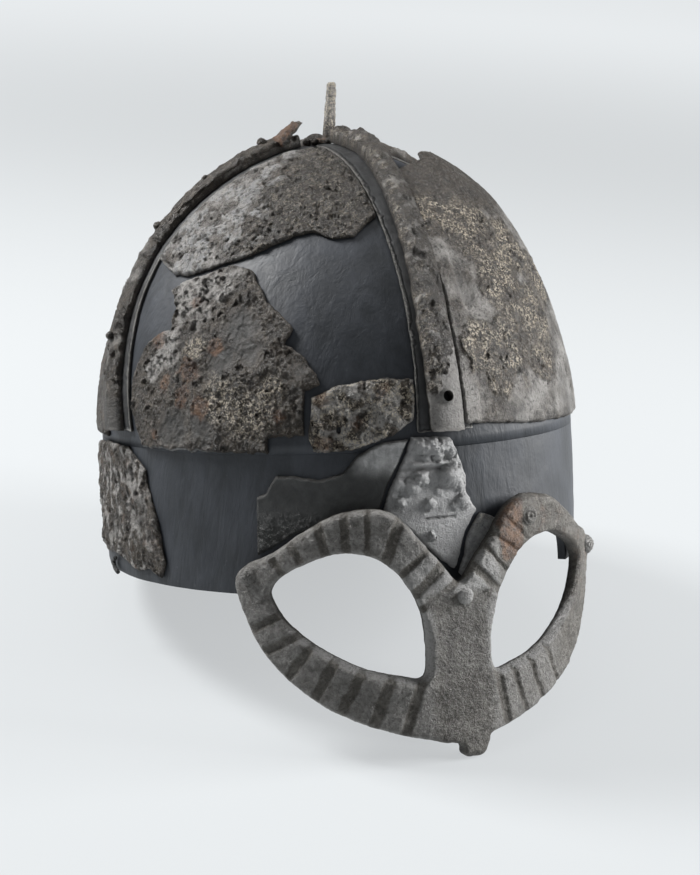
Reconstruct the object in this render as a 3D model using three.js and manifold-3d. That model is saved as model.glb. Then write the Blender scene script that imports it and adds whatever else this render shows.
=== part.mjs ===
// A Norse spectacle helmet, kept as iron fragments on a smooth restoration shell.
// Millimetres, +Z up. The face looks to -Y, so the wearer's left is +X.
// Azimuth is in degrees, 0 at the face and growing to the wearer's left.
// Rise is a share of the crown's height, from 0 at its lower edge to 1 at the apex.
import * as THREE from "three";
import { mergeVertices } from "three/addons/utils/BufferGeometryUtils.js";
import Module from "manifold-3d";

const wasm = await Module();
wasm.setup();

// Restoration shell
const crownHalfWidth = 101.5;
const crownHalfLength = 115.5;
const crownHeight = 121.5;
const crownFullness = 1.94;
const crownWall = 3;
const browHeight = 56;
const browWall = 3.5;
const seatGap = 0.35;

// Eye arches cut in the brow, measured from the middle plane
const archInner = 12;
const archOuter = 68.5;
const archDrop = 33;
const archCorner = 9;

// Iron plates and strips
const plateThickness = 2;
const stripThickness = 1.6;
const stripRimHalfWidth = 12;
const stripTopHalfWidth = 8.5;
const stripFootRise = 0.055;

// Iron ribs over the strips
const ribThickness = 5;
const ribRimHalfWidth = 6.9;
const ribTopHalfWidth = 4.8;
const ribEdgeShare = 0.35;
const ribFootRise = 0.055;
const rightRibBreak = 13;
const rightRibLift = 2.6;
const tabHoleRadius = 2;
const tabHoleRise = 0.16;
const leftPlateLift = 5.4;

// Spike
const spikeHeight = 24;
const spikeBaseWidth = 5;
const spikeTipWidth = 3.4;
const spikeFootRadius = 6.5;
const spikeFootThickness = 2.4;

// Spectacle guard
const guardThickness = 4.5;
const guardStandFront = 5.8;
const guardStandSide = 0.3;
const guardTipDrop = 122;
const guardBarRise = 0.8;
const guardBarDegrees = 11;
const guardBarPitch = 16;
const guardPostRadius = 2;

// Mail ring left on the side fragment
const mailWireRadius = 0.9;

// Facets
const crownSegments = 36;
const crownSteps = 10;
const rivetSegments = 10;
const rivetSteps = 3;
const guardEdgeSteps = 18;
const eyeHoleSteps = 16;
const flatCell = 14;
const guardCell = 20;
const flatScale = 2;
const flatBow = 0.001;
const apexAngle = 90;

const climbPower = 2 / crownFullness;
const plateTop = seatGap + plateThickness;
const ribSeat = seatGap + stripThickness + seatGap;
const guardInnerHalfWidth = crownHalfWidth + guardStandSide;
const guardInnerHalfLength = crownHalfLength + guardStandFront;

const shellPaint = new THREE.MeshStandardMaterial({ color: 0x3b4147, roughness: 0.6, metalness: 0 });
const darkIron = new THREE.MeshStandardMaterial({ color: 0x5a544d, roughness: 0.85, metalness: 0.3 });
const paleIron = new THREE.MeshStandardMaterial({ color: 0x8d8a84, roughness: 0.85, metalness: 0.3 });
const guardIron = new THREE.MeshStandardMaterial({ color: 0x4f4e4a, roughness: 0.8, metalness: 0.4 });

// Fragment outlines, read from the photograph
const topPlateOutline = [
  { azimuth: -90, rise: 0.67 }, { azimuth: -87, rise: 0.63 }, { azimuth: -79, rise: 0.6 },
  { azimuth: -73, rise: 0.575 }, { azimuth: -67, rise: 0.57 }, { azimuth: -57, rise: 0.6 },
  { azimuth: -50, rise: 0.62 }, { azimuth: -43, rise: 0.65 }, { azimuth: -34, rise: 0.69 },
  { azimuth: -28, rise: 0.7 }, { azimuth: -22, rise: 0.675 }, { azimuth: -16, rise: 0.68 },
  { azimuth: -11, rise: 0.72 }, { azimuth: -2, rise: 0.77 }, { azimuth: -2, rise: 0.988 },
  { azimuth: -92, rise: 0.988 }, { azimuth: -96, rise: 0.8 },
];
const largePlateOutline = [
  { azimuth: -73, rise: 0.006 }, { azimuth: -76, rise: 0.08 }, { azimuth: -79, rise: 0.22 },
  { azimuth: -77, rise: 0.3 }, { azimuth: -72, rise: 0.38 }, { azimuth: -67, rise: 0.4 },
  { azimuth: -67, rise: 0.46 }, { azimuth: -71, rise: 0.52 }, { azimuth: -68, rise: 0.55 },
  { azimuth: -58, rise: 0.58 }, { azimuth: -52, rise: 0.605 }, { azimuth: -45, rise: 0.58 },
  { azimuth: -40, rise: 0.48 }, { azimuth: -33, rise: 0.4 }, { azimuth: -35, rise: 0.35 },
  { azimuth: -30, rise: 0.3 }, { azimuth: -27, rise: 0.22 }, { azimuth: -30.5, rise: 0.2 },
  { azimuth: -31, rise: 0.06 }, { azimuth: -39, rise: 0.055 }, { azimuth: -39, rise: 0.006 },
];
const smallPlateOutline = [
  { azimuth: -29, rise: 0.006 }, { azimuth: -30, rise: 0.05 }, { azimuth: -29, rise: 0.18 },
  { azimuth: -23, rise: 0.215 }, { azimuth: -16, rise: 0.23 }, { azimuth: -8, rise: 0.22 },
  { azimuth: -9, rise: 0.1 }, { azimuth: -12, rise: 0.06 }, { azimuth: -19, rise: 0.02 },
  { azimuth: -23, rise: 0.006 },
];
const leftPlateOutline = [
  { azimuth: 3, rise: 0.09 }, { azimuth: 12, rise: 0.07 }, { azimuth: 27, rise: 0.045 },
  { azimuth: 48, rise: 0.035 }, { azimuth: 66, rise: 0.045 }, { azimuth: 88, rise: 0.05 },
  { azimuth: 90, rise: 0.5 }, { azimuth: 88, rise: 0.86 }, { azimuth: 62, rise: 0.9 },
  { azimuth: 40, rise: 0.93 }, { azimuth: 22, rise: 0.925 }, { azimuth: 4, rise: 0.95 },
];
const rearPlateOutline = [
  { azimuth: 92, rise: 0.02 }, { azimuth: 120, rise: 0.012 }, { azimuth: 150, rise: 0.02 },
  { azimuth: 178, rise: 0.012 }, { azimuth: 178, rise: 0.5 }, { azimuth: 177, rise: 0.86 },
  { azimuth: 150, rise: 0.93 }, { azimuth: 120, rise: 0.92 }, { azimuth: 92, rise: 0.85 },
  { azimuth: 91, rise: 0.4 },
];

// Brow fragments: drop is a share of the brow's height below the crown's lower edge
const sideBrowOutline = [
  { azimuth: -104, drop: 0.03 }, { azimuth: -92, drop: 0 }, { azimuth: -80, drop: 0 },
  { azimuth: -73, drop: 0.16 }, { azimuth: -72, drop: 0.32 }, { azimuth: -70, drop: 0.47 },
  { azimuth: -68.5, drop: 0.66 }, { azimuth: -67.5, drop: 0.84 }, { azimuth: -69, drop: 0.95 },
  { azimuth: -73, drop: 0.89 }, { azimuth: -78, drop: 0.93 }, { azimuth: -84, drop: 0.87 },
  { azimuth: -91, drop: 0.85 }, { azimuth: -98, drop: 0.87 }, { azimuth: -106, drop: 0.82 },
  { azimuth: -108, drop: 0.4 },
];
const darkBrowOutline = [
  { azimuth: -42, drop: 0.3 }, { azimuth: -40, drop: 0.27 }, { azimuth: -37.5, drop: 0.15 },
  { azimuth: -33, drop: 0.15 }, { azimuth: -28, drop: 0.18 }, { azimuth: -23, drop: 0.13 },
  { azimuth: -19.5, drop: 0.01 }, { azimuth: -14, drop: -0.07 }, { azimuth: -8.5, drop: -0.08 },
  { azimuth: -10, drop: 0.02 }, { azimuth: -13.5, drop: 0.24 }, { azimuth: -15.5, drop: 0.4 },
  { azimuth: -24, drop: 0.48 }, { azimuth: -34, drop: 0.56 }, { azimuth: -42.5, drop: 0.72 },
];
const centreBrowOutline = [
  { azimuth: -8, drop: -0.09 }, { azimuth: 1, drop: -0.08 }, { azimuth: 2.5, drop: 0.04 },
  { azimuth: 4.5, drop: 0.2 }, { azimuth: 4.5, drop: 0.33 }, { azimuth: 7, drop: 0.46 },
  { azimuth: 5.5, drop: 0.52 }, { azimuth: 3.5, drop: 0.62 }, { azimuth: 2.5, drop: 0.76 },
  { azimuth: 1, drop: 0.86 }, { azimuth: -2.5, drop: 0.78 }, { azimuth: -8, drop: 0.6 },
  { azimuth: -14.8, drop: 0.4 }, { azimuth: -12.8, drop: 0.24 }, { azimuth: -9.3, drop: 0.02 },
];
const stripBrowOutline = [
  { azimuth: 8, drop: 0.48 }, { azimuth: 12.5, drop: 0.54 }, { azimuth: 12, drop: 0.6 },
  { azimuth: 8, drop: 0.74 }, { azimuth: 3.5, drop: 0.94 }, { azimuth: 2, drop: 0.89 },
  { azimuth: 3.5, drop: 0.77 }, { azimuth: 4.5, drop: 0.63 }, { azimuth: 6.5, drop: 0.54 },
];

// Guard outline and eye hole for the wearer's left, mirrored for the right.
// Drop is a share of the guard tip's drop below the crown's lower edge.
const guardEdge = [
  { azimuth: 0, drop: 0.425 }, { azimuth: 4, drop: 0.36 }, { azimuth: 8, drop: 0.29 },
  { azimuth: 12, drop: 0.215 }, { azimuth: 16, drop: 0.18 }, { azimuth: 21, drop: 0.175 },
  { azimuth: 27, drop: 0.195 }, { azimuth: 33, drop: 0.245 }, { azimuth: 40, drop: 0.315 },
  { azimuth: 45, drop: 0.35 }, { azimuth: 48, drop: 0.405 }, { azimuth: 46.5, drop: 0.5 },
  { azimuth: 43, drop: 0.62 }, { azimuth: 37, drop: 0.725 }, { azimuth: 30, drop: 0.805 },
  { azimuth: 21, drop: 0.87 }, { azimuth: 13, drop: 0.91 }, { azimuth: 7, drop: 0.935 },
];
const guardTip = [
  { azimuth: 6.3, drop: 0.955 }, { azimuth: 5, drop: 0.99 }, { azimuth: 3.6, drop: 1 },
  { azimuth: 0.6, drop: 1 }, { azimuth: -0.6, drop: 0.985 }, { azimuth: -1.2, drop: 0.955 },
];
const eyeHole = [
  { azimuth: 8.5, drop: 0.722 }, { azimuth: 7.9, drop: 0.6 }, { azimuth: 9, drop: 0.5 },
  { azimuth: 12, drop: 0.415 }, { azimuth: 16, drop: 0.35 }, { azimuth: 21, drop: 0.316 },
  { azimuth: 26.5, drop: 0.313 }, { azimuth: 33, drop: 0.348 }, { azimuth: 38, drop: 0.39 },
  { azimuth: 40.5, drop: 0.44 }, { azimuth: 38.5, drop: 0.51 }, { azimuth: 34, drop: 0.58 },
  { azimuth: 28, drop: 0.64 }, { azimuth: 21, drop: 0.69 }, { azimuth: 14, drop: 0.717 },
];
const eyeCentre = { azimuth: 24.5, drop: 0.51 };
// Bars stand round each eye, counted in pitches from the outer end up over the brow
const rightEyeBars = [-6, -5, -4, -3, -2, -1, 0, 1, 2, 3, 4, 5, 6, 7, 8, 9, 10];
const leftEyeBars = [-6, -5, -4, 6, 7, 8, 9];

// Rivet posts behind the guard, and rivet heads on it, with drops as shares of the tip's drop
const guardPosts = [
  { azimuth: -46.5, drop: 0.385, seat: seatGap },
  { azimuth: 46.5, drop: 0.385, seat: seatGap },
  { azimuth: 0, drop: 0.443, seat: seatGap },
];
const nasalRivet = { azimuth: 1, drop: 0.471, radius: 3.4, rise: 1.6 };
const eyeRivet = { azimuth: 18.5, drop: 0.242, radius: 4, rise: 1.4 };
const leftEndRivet = { azimuth: 46, drop: 0.41, radius: 4.2, rise: 3.6 };
const rightEndRivet = { azimuth: -44.5, drop: 0.385, radius: 3.6, rise: 1.8 };

// The end of a mail ring that hangs under the side fragment
const mailHook = [
  { azimuth: -91, drop: 0.895 }, { azimuth: -93, drop: 0.93 }, { azimuth: -92, drop: 0.975 },
  { azimuth: -89.5, drop: 1 },
];

// How far the right strip and rib stray forward of the middle, read from the photograph
const rightStray = [
  { rise: 0, forward: 15 }, { rise: 0.16, forward: 9 }, { rise: 0.35, forward: 2.5 },
  { rise: 0.5, forward: -2.5 }, { rise: 0.66, forward: -4.5 }, { rise: 0.8, forward: -1 },
  { rise: 0.9, forward: 2.5 }, { rise: 1, forward: 4 },
];
const leftStray = [{ rise: 0, forward: 0 }, { rise: 1, forward: 0 }];

const sine = (degrees) => Math.sin(THREE.MathUtils.degToRad(degrees));
const cosine = (degrees) => Math.cos(THREE.MathUtils.degToRad(degrees));
const signedPower = (value) => Math.sign(value) * Math.abs(value) ** climbPower;

// Climb is the crown's profile angle: 0 at the lower edge, 90 at the apex
function climbAt(rise) {
  return THREE.MathUtils.radToDeg(Math.asin(rise ** (1 / climbPower)));
}

function crownPoint(azimuth, climb, offset) {
  const ring = signedPower(cosine(climb));
  return new THREE.Vector3(
    (crownHalfWidth + offset) * ring * sine(azimuth),
    -(crownHalfLength + offset) * ring * cosine(azimuth),
    (crownHeight + offset) * signedPower(sine(climb)),
  );
}

// Moves a point along its line from the crown's centre until it lies on the offset crown
function ontoCrown(point, offset) {
  const wide = point.x / (crownHalfWidth + offset);
  const long = point.y / (crownHalfLength + offset);
  const high = Math.max(point.z, 0) / (crownHeight + offset);
  const size = (Math.hypot(wide, long) ** crownFullness + high ** crownFullness) ** (1 / crownFullness);
  return point.divideScalar(size);
}

// A point of an arm that runs over the crown from the given azimuth, sideways in millimetres
function armPoint(azimuth, climb, sideways, offset) {
  const point = crownPoint(azimuth, climb, 0);
  point.x += sideways * cosine(azimuth);
  point.y += sideways * sine(azimuth);
  return ontoCrown(point, offset);
}

function browPoint(azimuth, height, offset) {
  const x = (crownHalfWidth + offset) * sine(azimuth);
  return new THREE.Vector3(x, -(crownHalfLength + offset) * cosine(azimuth), height);
}

function guardPoint(azimuth, height, offset) {
  const x = (guardInnerHalfWidth + offset) * sine(azimuth);
  return new THREE.Vector3(x, -(guardInnerHalfLength + offset) * cosine(azimuth), height);
}

function tableValue(table, rise, column) {
  const after = Math.max(1, table.findIndex((row) => row.rise >= rise));
  const [low, high] = [table[after - 1], table[after]];
  const share = (rise - low.rise) / (high.rise - low.rise);
  return THREE.MathUtils.lerp(low[column], high[column], THREE.MathUtils.clamp(share, 0, 1));
}

// A closed solid with only its points, without triangles that meet in a line
function toSolid(geometry) {
  const bare = geometry.clone();
  bare.deleteAttribute("normal");
  bare.deleteAttribute("uv");
  const merged = mergeVertices(bare, 1e-4);
  const corners = [];
  for (let i = 0; i < merged.index.count; i += 3) {
    const [a, b, c] = [0, 1, 2].map((k) => merged.index.getX(i + k));
    if (a !== b && b !== c && c !== a) corners.push(a, b, c);
  }
  return new wasm.Manifold(new wasm.Mesh({
    numProp: 3,
    vertProperties: new Float32Array(merged.attributes.position.array),
    triVerts: new Uint32Array(corners),
  }));
}

function toGeometry(solid) {
  const mesh = solid.getMesh();
  const geometry = new THREE.BufferGeometry();
  geometry.setAttribute("position", new THREE.BufferAttribute(mesh.vertProperties, 3));
  geometry.setIndex(new THREE.BufferAttribute(mesh.triVerts, 1));
  geometry.computeVertexNormals();
  return geometry;
}

function movePoints(geometry, place) {
  const positions = geometry.attributes.position;
  for (let i = 0; i < positions.count; i += 1) {
    const point = place(positions.getX(i), positions.getY(i), positions.getZ(i));
    positions.setXYZ(i, point.x, point.y, point.z);
  }
  return geometry;
}

const bowAt = (x, y) => flatBow * (x * x + y * y);

// A thin slab over a flat outline. It is bowed a little, so that a cut keeps its inner points.
function bowedSlab(box, thickness, cell) {
  const size = box.getSize(new THREE.Vector2()).addScalar(cell);
  const middle = box.getCenter(new THREE.Vector2());
  const columns = Math.ceil(size.x / cell);
  const rows = Math.ceil(size.y / cell);
  const slab = new THREE.BoxGeometry(size.x, size.y, thickness, columns, rows, 1);
  slab.translate(middle.x, middle.y, thickness / 2);
  return toSolid(movePoints(slab, (x, y, z) => new THREE.Vector3(x, y, z + bowAt(x, y))));
}

// Cuts the flat outline from a slab and carries it to its place on the helmet
function cutFlat(shape, thickness, place, cell = flatCell, trims = []) {
  const box = new THREE.Box2().setFromPoints(shape.getPoints());
  const depth = 2 * thickness + bowAt(box.max.x - box.min.x, box.max.y - box.min.y);
  const prism = new THREE.ExtrudeGeometry(shape, { depth, bevelEnabled: false });
  prism.translate(0, 0, -thickness / 2);
  let flat = bowedSlab(box, thickness, cell).intersect(toSolid(prism));
  for (const trim of trims) flat = flat.intersect(trim);
  const geometry = toGeometry(flat);
  return movePoints(geometry, (x, y, z) => place(x, y, z - bowAt(x, y)));
}

function middleOf(outline, column) {
  const values = outline.map((row) => row[column]);
  return (Math.min(...values) + Math.max(...values)) / 2;
}

function crownPlate(outline, lift = () => 0) {
  const azimuthMiddle = middleOf(outline, "azimuth");
  const climbMiddle = climbAt(middleOf(outline, "rise"));
  const shape = new THREE.Shape(outline.map((row) => new THREE.Vector2(
    (row.azimuth - azimuthMiddle) * flatScale,
    (climbAt(row.rise) - climbMiddle) * flatScale,
  )));
  const wrapped = cutFlat(shape, plateThickness, (x, y, depth) => {
    const climb = y / flatScale + climbMiddle;
    return crownPoint(x / flatScale + azimuthMiddle, climb, seatGap + depth + lift(climb));
  });
  return toGeometry(toSolid(wrapped).subtract(stripClearances));
}

function browPlate(outline) {
  const azimuthMiddle = middleOf(outline, "azimuth");
  const shape = new THREE.Shape(outline.map((row) => new THREE.Vector2(
    (row.azimuth - azimuthMiddle) * flatScale,
    (0.5 - row.drop) * browHeight,
  )));
  return cutFlat(shape, plateThickness, (x, y, depth) => (
    browPoint(x / flatScale + azimuthMiddle, y - browHeight / 2, seatGap + depth)
  ));
}

// An arm of the given half width, whose under and upper sides are offsets from the shell
function armSolid({ azimuth, from, to, across, halfWidth, under, upper, stray, steps = 15 }) {
  const bar = new THREE.BoxGeometry(2, 1, 1, across, steps, 1);
  return movePoints(bar, (x, y, z) => {
    const climb = THREE.MathUtils.lerp(from, to, y + 0.5);
    const rise = THREE.MathUtils.clamp(signedPower(sine(climb)), 0, 1);
    const sideways = x * halfWidth(climb) + stray(rise);
    return armPoint(azimuth, climb, sideways, z < 0 ? under(climb) : upper(climb, x));
  });
}

const towardApex = (climb) => Math.min(climb, 2 * apexAngle - climb) / apexAngle;

function taper(rimValue, topValue) {
  return (climb) => THREE.MathUtils.lerp(rimValue, topValue, towardApex(climb));
}

const strayOf = {
  front: () => 0,
  right: (rise) => tableValue(rightStray, rise, "forward"),
  left: (rise) => -tableValue(leftStray, rise, "forward"),
};

// Climb where an arm from the side has come within the given distance of the middle plane
function climbNear(distance, halfLength) {
  const ring = distance / halfLength;
  return THREE.MathUtils.radToDeg(Math.acos(ring ** (1 / climbPower)));
}

function stripArm(azimuth, from, to, stray, extra = 0, under = seatGap, upper = stripThickness + seatGap) {
  return armSolid({
    azimuth, from, to, stray,
    across: 2,
    steps: Math.round((to - from) / 5),
    halfWidth: taper(stripRimHalfWidth + extra, stripTopHalfWidth + extra),
    under: () => under,
    upper: () => upper,
  });
}

const stripFoot = climbAt(stripFootRise);
const sideStripTop = climbNear(stripTopHalfWidth + seatGap, crownHalfWidth);

// The room that each strip needs is cut from the plates, from the lower edge to the apex
function stripRoom() {
  const room = { under: -1, upper: plateTop + leftPlateLift + 2 };
  const arms = [
    stripArm(0, -2, 182, strayOf.front, seatGap, room.under, room.upper),
    stripArm(-90, -2, apexAngle, strayOf.right, seatGap, room.under, room.upper),
    stripArm(90, -2, apexAngle, strayOf.left, seatGap, room.under, room.upper),
  ];
  return arms.map(toSolid).reduce((all, arm) => all.add(arm));
}
const stripClearances = stripRoom();

const ribDome = (x) => ribEdgeShare + (1 - ribEdgeShare) * Math.sqrt(Math.max(0, 1 - x * x));

function ribArm(azimuth, top, stray, lift = () => 0) {
  return armSolid({
    azimuth, stray,
    from: climbAt(ribFootRise),
    to: top,
    across: 4,
    halfWidth: taper(ribRimHalfWidth, ribTopHalfWidth),
    under: (climb) => ribSeat + lift(climb),
    upper: (climb, x) => ribSeat + lift(climb) + ribThickness * ribDome(x),
  });
}

// A closed dome on its axis, with a straight wall below when the floor is under zero
function bowl(halfWidth, halfLength, height, floor) {
  const profile = [new THREE.Vector2(0, floor), new THREE.Vector2(1, floor)];
  for (let step = 0; step <= crownSteps; step += 1) {
    const climb = (apexAngle * step) / crownSteps;
    const ring = step === crownSteps ? 0 : signedPower(cosine(climb));
    profile.push(new THREE.Vector2(ring, signedPower(sine(climb))));
  }
  const geometry = new THREE.LatheGeometry(profile, crownSegments, Math.PI / crownSegments);
  geometry.rotateX(Math.PI / 2);
  geometry.scale(halfWidth, halfLength, height);
  return geometry;
}

function crownBase() {
  const outer = toSolid(bowl(crownHalfWidth, crownHalfLength, crownHeight, 0));
  const inside = { width: crownHalfWidth - crownWall, length: crownHalfLength - crownWall };
  const inner = bowl(inside.width, inside.length, crownHeight - crownWall, -1);
  return toGeometry(outer.subtract(toSolid(inner)));
}

function ovalDrum(halfWidth, halfLength, top, bottom) {
  const drum = new THREE.CylinderGeometry(1, 1, top - bottom, crownSegments);
  drum.rotateY(Math.PI / crownSegments);
  drum.rotateX(Math.PI / 2);
  drum.scale(halfWidth, halfLength, 1);
  drum.translate(0, 0, (top + bottom) / 2);
  return toSolid(drum);
}

function eyeArch(side) {
  const shape = new THREE.Shape();
  const top = -archDrop;
  const floor = -browHeight - browWall;
  shape.moveTo(archInner, floor);
  shape.lineTo(archOuter, floor);
  shape.lineTo(archOuter, top - archCorner);
  shape.quadraticCurveTo(archOuter, top, archOuter - archCorner, top);
  shape.lineTo(archInner + archCorner, top);
  shape.quadraticCurveTo(archInner, top, archInner, top - archCorner);
  const arch = new THREE.ExtrudeGeometry(shape, { depth: crownHalfLength, bevelEnabled: false, curveSegments: 4 });
  arch.rotateX(Math.PI / 2);
  if (side < 0) arch.translate(-archInner - archOuter, 0, 0);
  return toSolid(arch);
}

function browBase() {
  const outer = ovalDrum(crownHalfWidth, crownHalfLength, -seatGap, -browHeight);
  const clear = browHeight + browWall;
  const inner = ovalDrum(crownHalfWidth - browWall, crownHalfLength - browWall, browWall, -clear);
  return toGeometry(outer.subtract(inner).subtract(eyeArch(1)).subtract(eyeArch(-1)));
}

function guardVector(row) {
  return new THREE.Vector2(row.azimuth * flatScale, (eyeCentre.drop - row.drop) * guardTipDrop);
}

const mirrored = (rows) => rows.map((row) => ({ ...row, azimuth: -row.azimuth })).reverse();

function guardShape() {
  const leftSide = new THREE.SplineCurve(guardEdge.map(guardVector)).getPoints(guardEdgeSteps);
  const tip = guardTip.map(guardVector);
  const rightSide = new THREE.SplineCurve(mirrored(guardEdge).map(guardVector)).getPoints(guardEdgeSteps);
  const shape = new THREE.Shape([...leftSide, ...tip, ...rightSide.slice(0, -1)].reverse());
  for (const rows of [eyeHole, mirrored(eyeHole)]) {
    const curve = new THREE.SplineCurve([...rows, rows[0]].map(guardVector));
    shape.holes.push(new THREE.Path(curve.getPoints(eyeHoleSteps).slice(0, -1)));
  }
  return shape;
}

// Wedges round an eye, which keep only the bars of the raised layer
function barWedges(side, bars) {
  const centre = guardVector(eyeCentre);
  const reach = guardTipDrop;
  const wedges = bars.map((count) => {
    const corners = [-0.5, 0.5].map((share) => {
      const angle = count * guardBarPitch + share * guardBarDegrees;
      return new THREE.Vector2(side * reach * cosine(angle), reach * sine(angle));
    });
    const shape = new THREE.Shape([new THREE.Vector2(0, 0), ...corners]);
    const wedge = new THREE.ExtrudeGeometry(shape, { depth: reach, bevelEnabled: false });
    wedge.translate(side * centre.x, centre.y, -reach / 2);
    return toSolid(wedge);
  });
  return wedges.reduce((all, wedge) => all.add(wedge));
}

const onGuard = (x, y, depth) => (
  guardPoint(x / flatScale, y - eyeCentre.drop * guardTipDrop, depth)
);

// The way back from a point outside the brow, against its outward direction, to the brow's outer oval
function wayToBrow(point, outward) {
  const across = (u, v) => (u.x * v.x) / crownHalfWidth ** 2 + (u.y * v.y) / crownHalfLength ** 2;
  const slope = across(outward, outward);
  const pull = across(point, outward);
  return (pull - Math.sqrt(pull ** 2 - slope * (across(point, point) - 1))) / slope;
}

// A round post from the guard's middle back to the brow, where a rivet holds it
function guardPost({ azimuth, drop, seat }) {
  const height = -drop * guardTipDrop;
  const middle = guardPoint(azimuth, height, guardThickness / 2);
  const outward = outwardAt(guardPoint, azimuth, height).normalize();
  const length = wayToBrow(middle, outward) - seat;
  const post = new THREE.CylinderGeometry(guardPostRadius, guardPostRadius, length, 8);
  return toSolid(standing(post.translate(0, -length / 2, 0), middle, outward));
}

function spectacleGuard() {
  const shape = guardShape();
  const plate = toSolid(cutFlat(shape, guardThickness, onGuard, guardCell));
  const layer = 2 * guardBarRise;
  const raised = (x, y, depth) => onGuard(x, y, depth + guardThickness - guardBarRise);
  const bars = [[-1, rightEyeBars], [1, leftEyeBars]].map(([side, list]) => (
    toSolid(cutFlat(shape, layer, raised, guardCell, [barWedges(side, list)]))
  ));
  const posts = guardPosts.map(guardPost);
  return toGeometry([...bars, ...posts].reduce((all, one) => all.add(one), plate));
}

// A piece that stands on an outer side, with its own +Y turned to face outward
function standing(geometry, point, outward) {
  const turn = new THREE.Quaternion().setFromUnitVectors(new THREE.Vector3(0, 1, 0), outward.clone().normalize());
  return geometry.applyQuaternion(turn).translate(point.x, point.y, point.z);
}

function outwardAt(place, azimuth, height) {
  return new THREE.Vector3().subVectors(place(azimuth, height, 1), place(azimuth, height, 0));
}

// A low dome on the guard
function rivetHead({ azimuth, drop, radius, rise, seat }) {
  const height = -drop * guardTipDrop;
  const profile = [new THREE.Vector2(0, 0), new THREE.Vector2(radius, 0)];
  for (let step = 1; step <= rivetSteps; step += 1) {
    const angle = (apexAngle * step) / rivetSteps;
    profile.push(new THREE.Vector2(step === rivetSteps ? 0 : radius * cosine(angle), rise * sine(angle)));
  }
  const head = new THREE.LatheGeometry(profile, rivetSegments);
  const point = guardPoint(azimuth, height, seat);
  return standing(head, point, outwardAt(guardPoint, azimuth, height));
}

function crownSpike() {
  const foot = new THREE.CylinderGeometry(spikeFootRadius - 1, spikeFootRadius, spikeFootThickness, 12);
  const shaftHeight = spikeHeight + spikeFootThickness / 2;
  const corner = Math.SQRT1_2;
  const shaft = new THREE.CylinderGeometry(spikeTipWidth * corner, spikeBaseWidth * corner, shaftHeight, 4);
  shaft.translate(0, shaftHeight / 2, 0);
  const spike = toGeometry(toSolid(foot).add(toSolid(shaft)));
  spike.rotateX(Math.PI / 2);
  return spike.translate(0, 0, crownHeight + ribSeat + spikeFootThickness / 2);
}

function mailRing() {
  const points = mailHook.map((row) => browPoint(row.azimuth, -row.drop * browHeight, plateTop / 2));
  const section = new THREE.Shape().absarc(0, 0, mailWireRadius, 0, 2 * Math.PI);
  const extrudePath = new THREE.CatmullRomCurve3(points);
  return new THREE.ExtrudeGeometry(section, { steps: 12, curveSegments: 3, extrudePath });
}

function ribFront() {
  const arm = ribArm(0, climbNear(spikeFootRadius + seatGap, crownHalfLength), strayOf.front);
  const climb = climbAt(tabHoleRise);
  const centre = crownPoint(0, climb, 0);
  const drill = new THREE.CylinderGeometry(tabHoleRadius, tabHoleRadius, 4 * ribThickness, 12);
  const outward = new THREE.Vector3().subVectors(crownPoint(0, climb, 1), centre);
  return toGeometry(toSolid(arm).subtract(toSolid(standing(drill, centre, outward))));
}

// The broken end of the right rib has sprung up from the strip
function rightRibSpring(climb) {
  return rightRibLift * THREE.MathUtils.smoothstep(climb, climbAt(0.75), climbAt(0.9));
}

const leftPlateSpring = (climb) => (
  leftPlateLift * THREE.MathUtils.smoothstep(climb, climbAt(0.62), climbAt(0.93))
);

const rearRightOutline = mirrored(rearPlateOutline);
const ribTop = climbNear(spikeFootRadius + seatGap, crownHalfLength);
const sideRibTop = climbNear(rightRibBreak, crownHalfWidth);

const helmet = new THREE.Group();

function addPart(name, geometry, material) {
  const part = new THREE.Mesh(geometry, material);
  part.name = name;
  helmet.add(part);
}

addPart("crown_base", crownBase(), shellPaint);
addPart("brow_base", browBase(), shellPaint);
addPart("strip_fore_aft", stripArm(0, stripFoot, 2 * apexAngle - stripFoot, strayOf.front), darkIron);
addPart("strip_right", stripArm(-90, stripFoot, sideStripTop, strayOf.right), darkIron);
addPart("strip_left", stripArm(90, stripFoot, sideStripTop, strayOf.left), darkIron);
addPart("rib_front", ribFront(), paleIron);
addPart("rib_back", ribArm(180, ribTop, strayOf.front), darkIron);
addPart("rib_right", ribArm(-90, sideRibTop, strayOf.right, rightRibSpring), darkIron);
addPart("rib_left", ribArm(90, sideRibTop, strayOf.left), darkIron);
addPart("plate_right_top", crownPlate(topPlateOutline), paleIron);
addPart("plate_right_large", crownPlate(largePlateOutline), darkIron);
addPart("plate_right_small", crownPlate(smallPlateOutline), darkIron);
addPart("plate_left", crownPlate(leftPlateOutline, leftPlateSpring), paleIron);
addPart("plate_rear_left", crownPlate(rearPlateOutline), darkIron);
addPart("plate_rear_right", crownPlate(rearRightOutline), darkIron);
addPart("brow_fragment_side", browPlate(sideBrowOutline), darkIron);
addPart("brow_fragment_dark", browPlate(darkBrowOutline), shellPaint);
addPart("brow_fragment_centre", browPlate(centreBrowOutline), paleIron);
addPart("brow_fragment_strip", browPlate(stripBrowOutline), paleIron);
addPart("spectacle_guard", spectacleGuard(), guardIron);
addPart("rivet_nasal", rivetHead({ ...nasalRivet, seat: guardThickness + seatGap }), guardIron);
addPart("rivet_left_eye", rivetHead({ ...eyeRivet, seat: guardThickness + guardBarRise + seatGap }), paleIron);
addPart("rivet_left_end", rivetHead({ ...leftEndRivet, seat: guardThickness + seatGap }), guardIron);
addPart("rivet_right_end", rivetHead({ ...rightEndRivet, seat: guardThickness + guardBarRise + seatGap }), guardIron);
addPart("spike", crownSpike(), paleIron);
addPart("mail_ring", mailRing(), darkIron);

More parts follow.
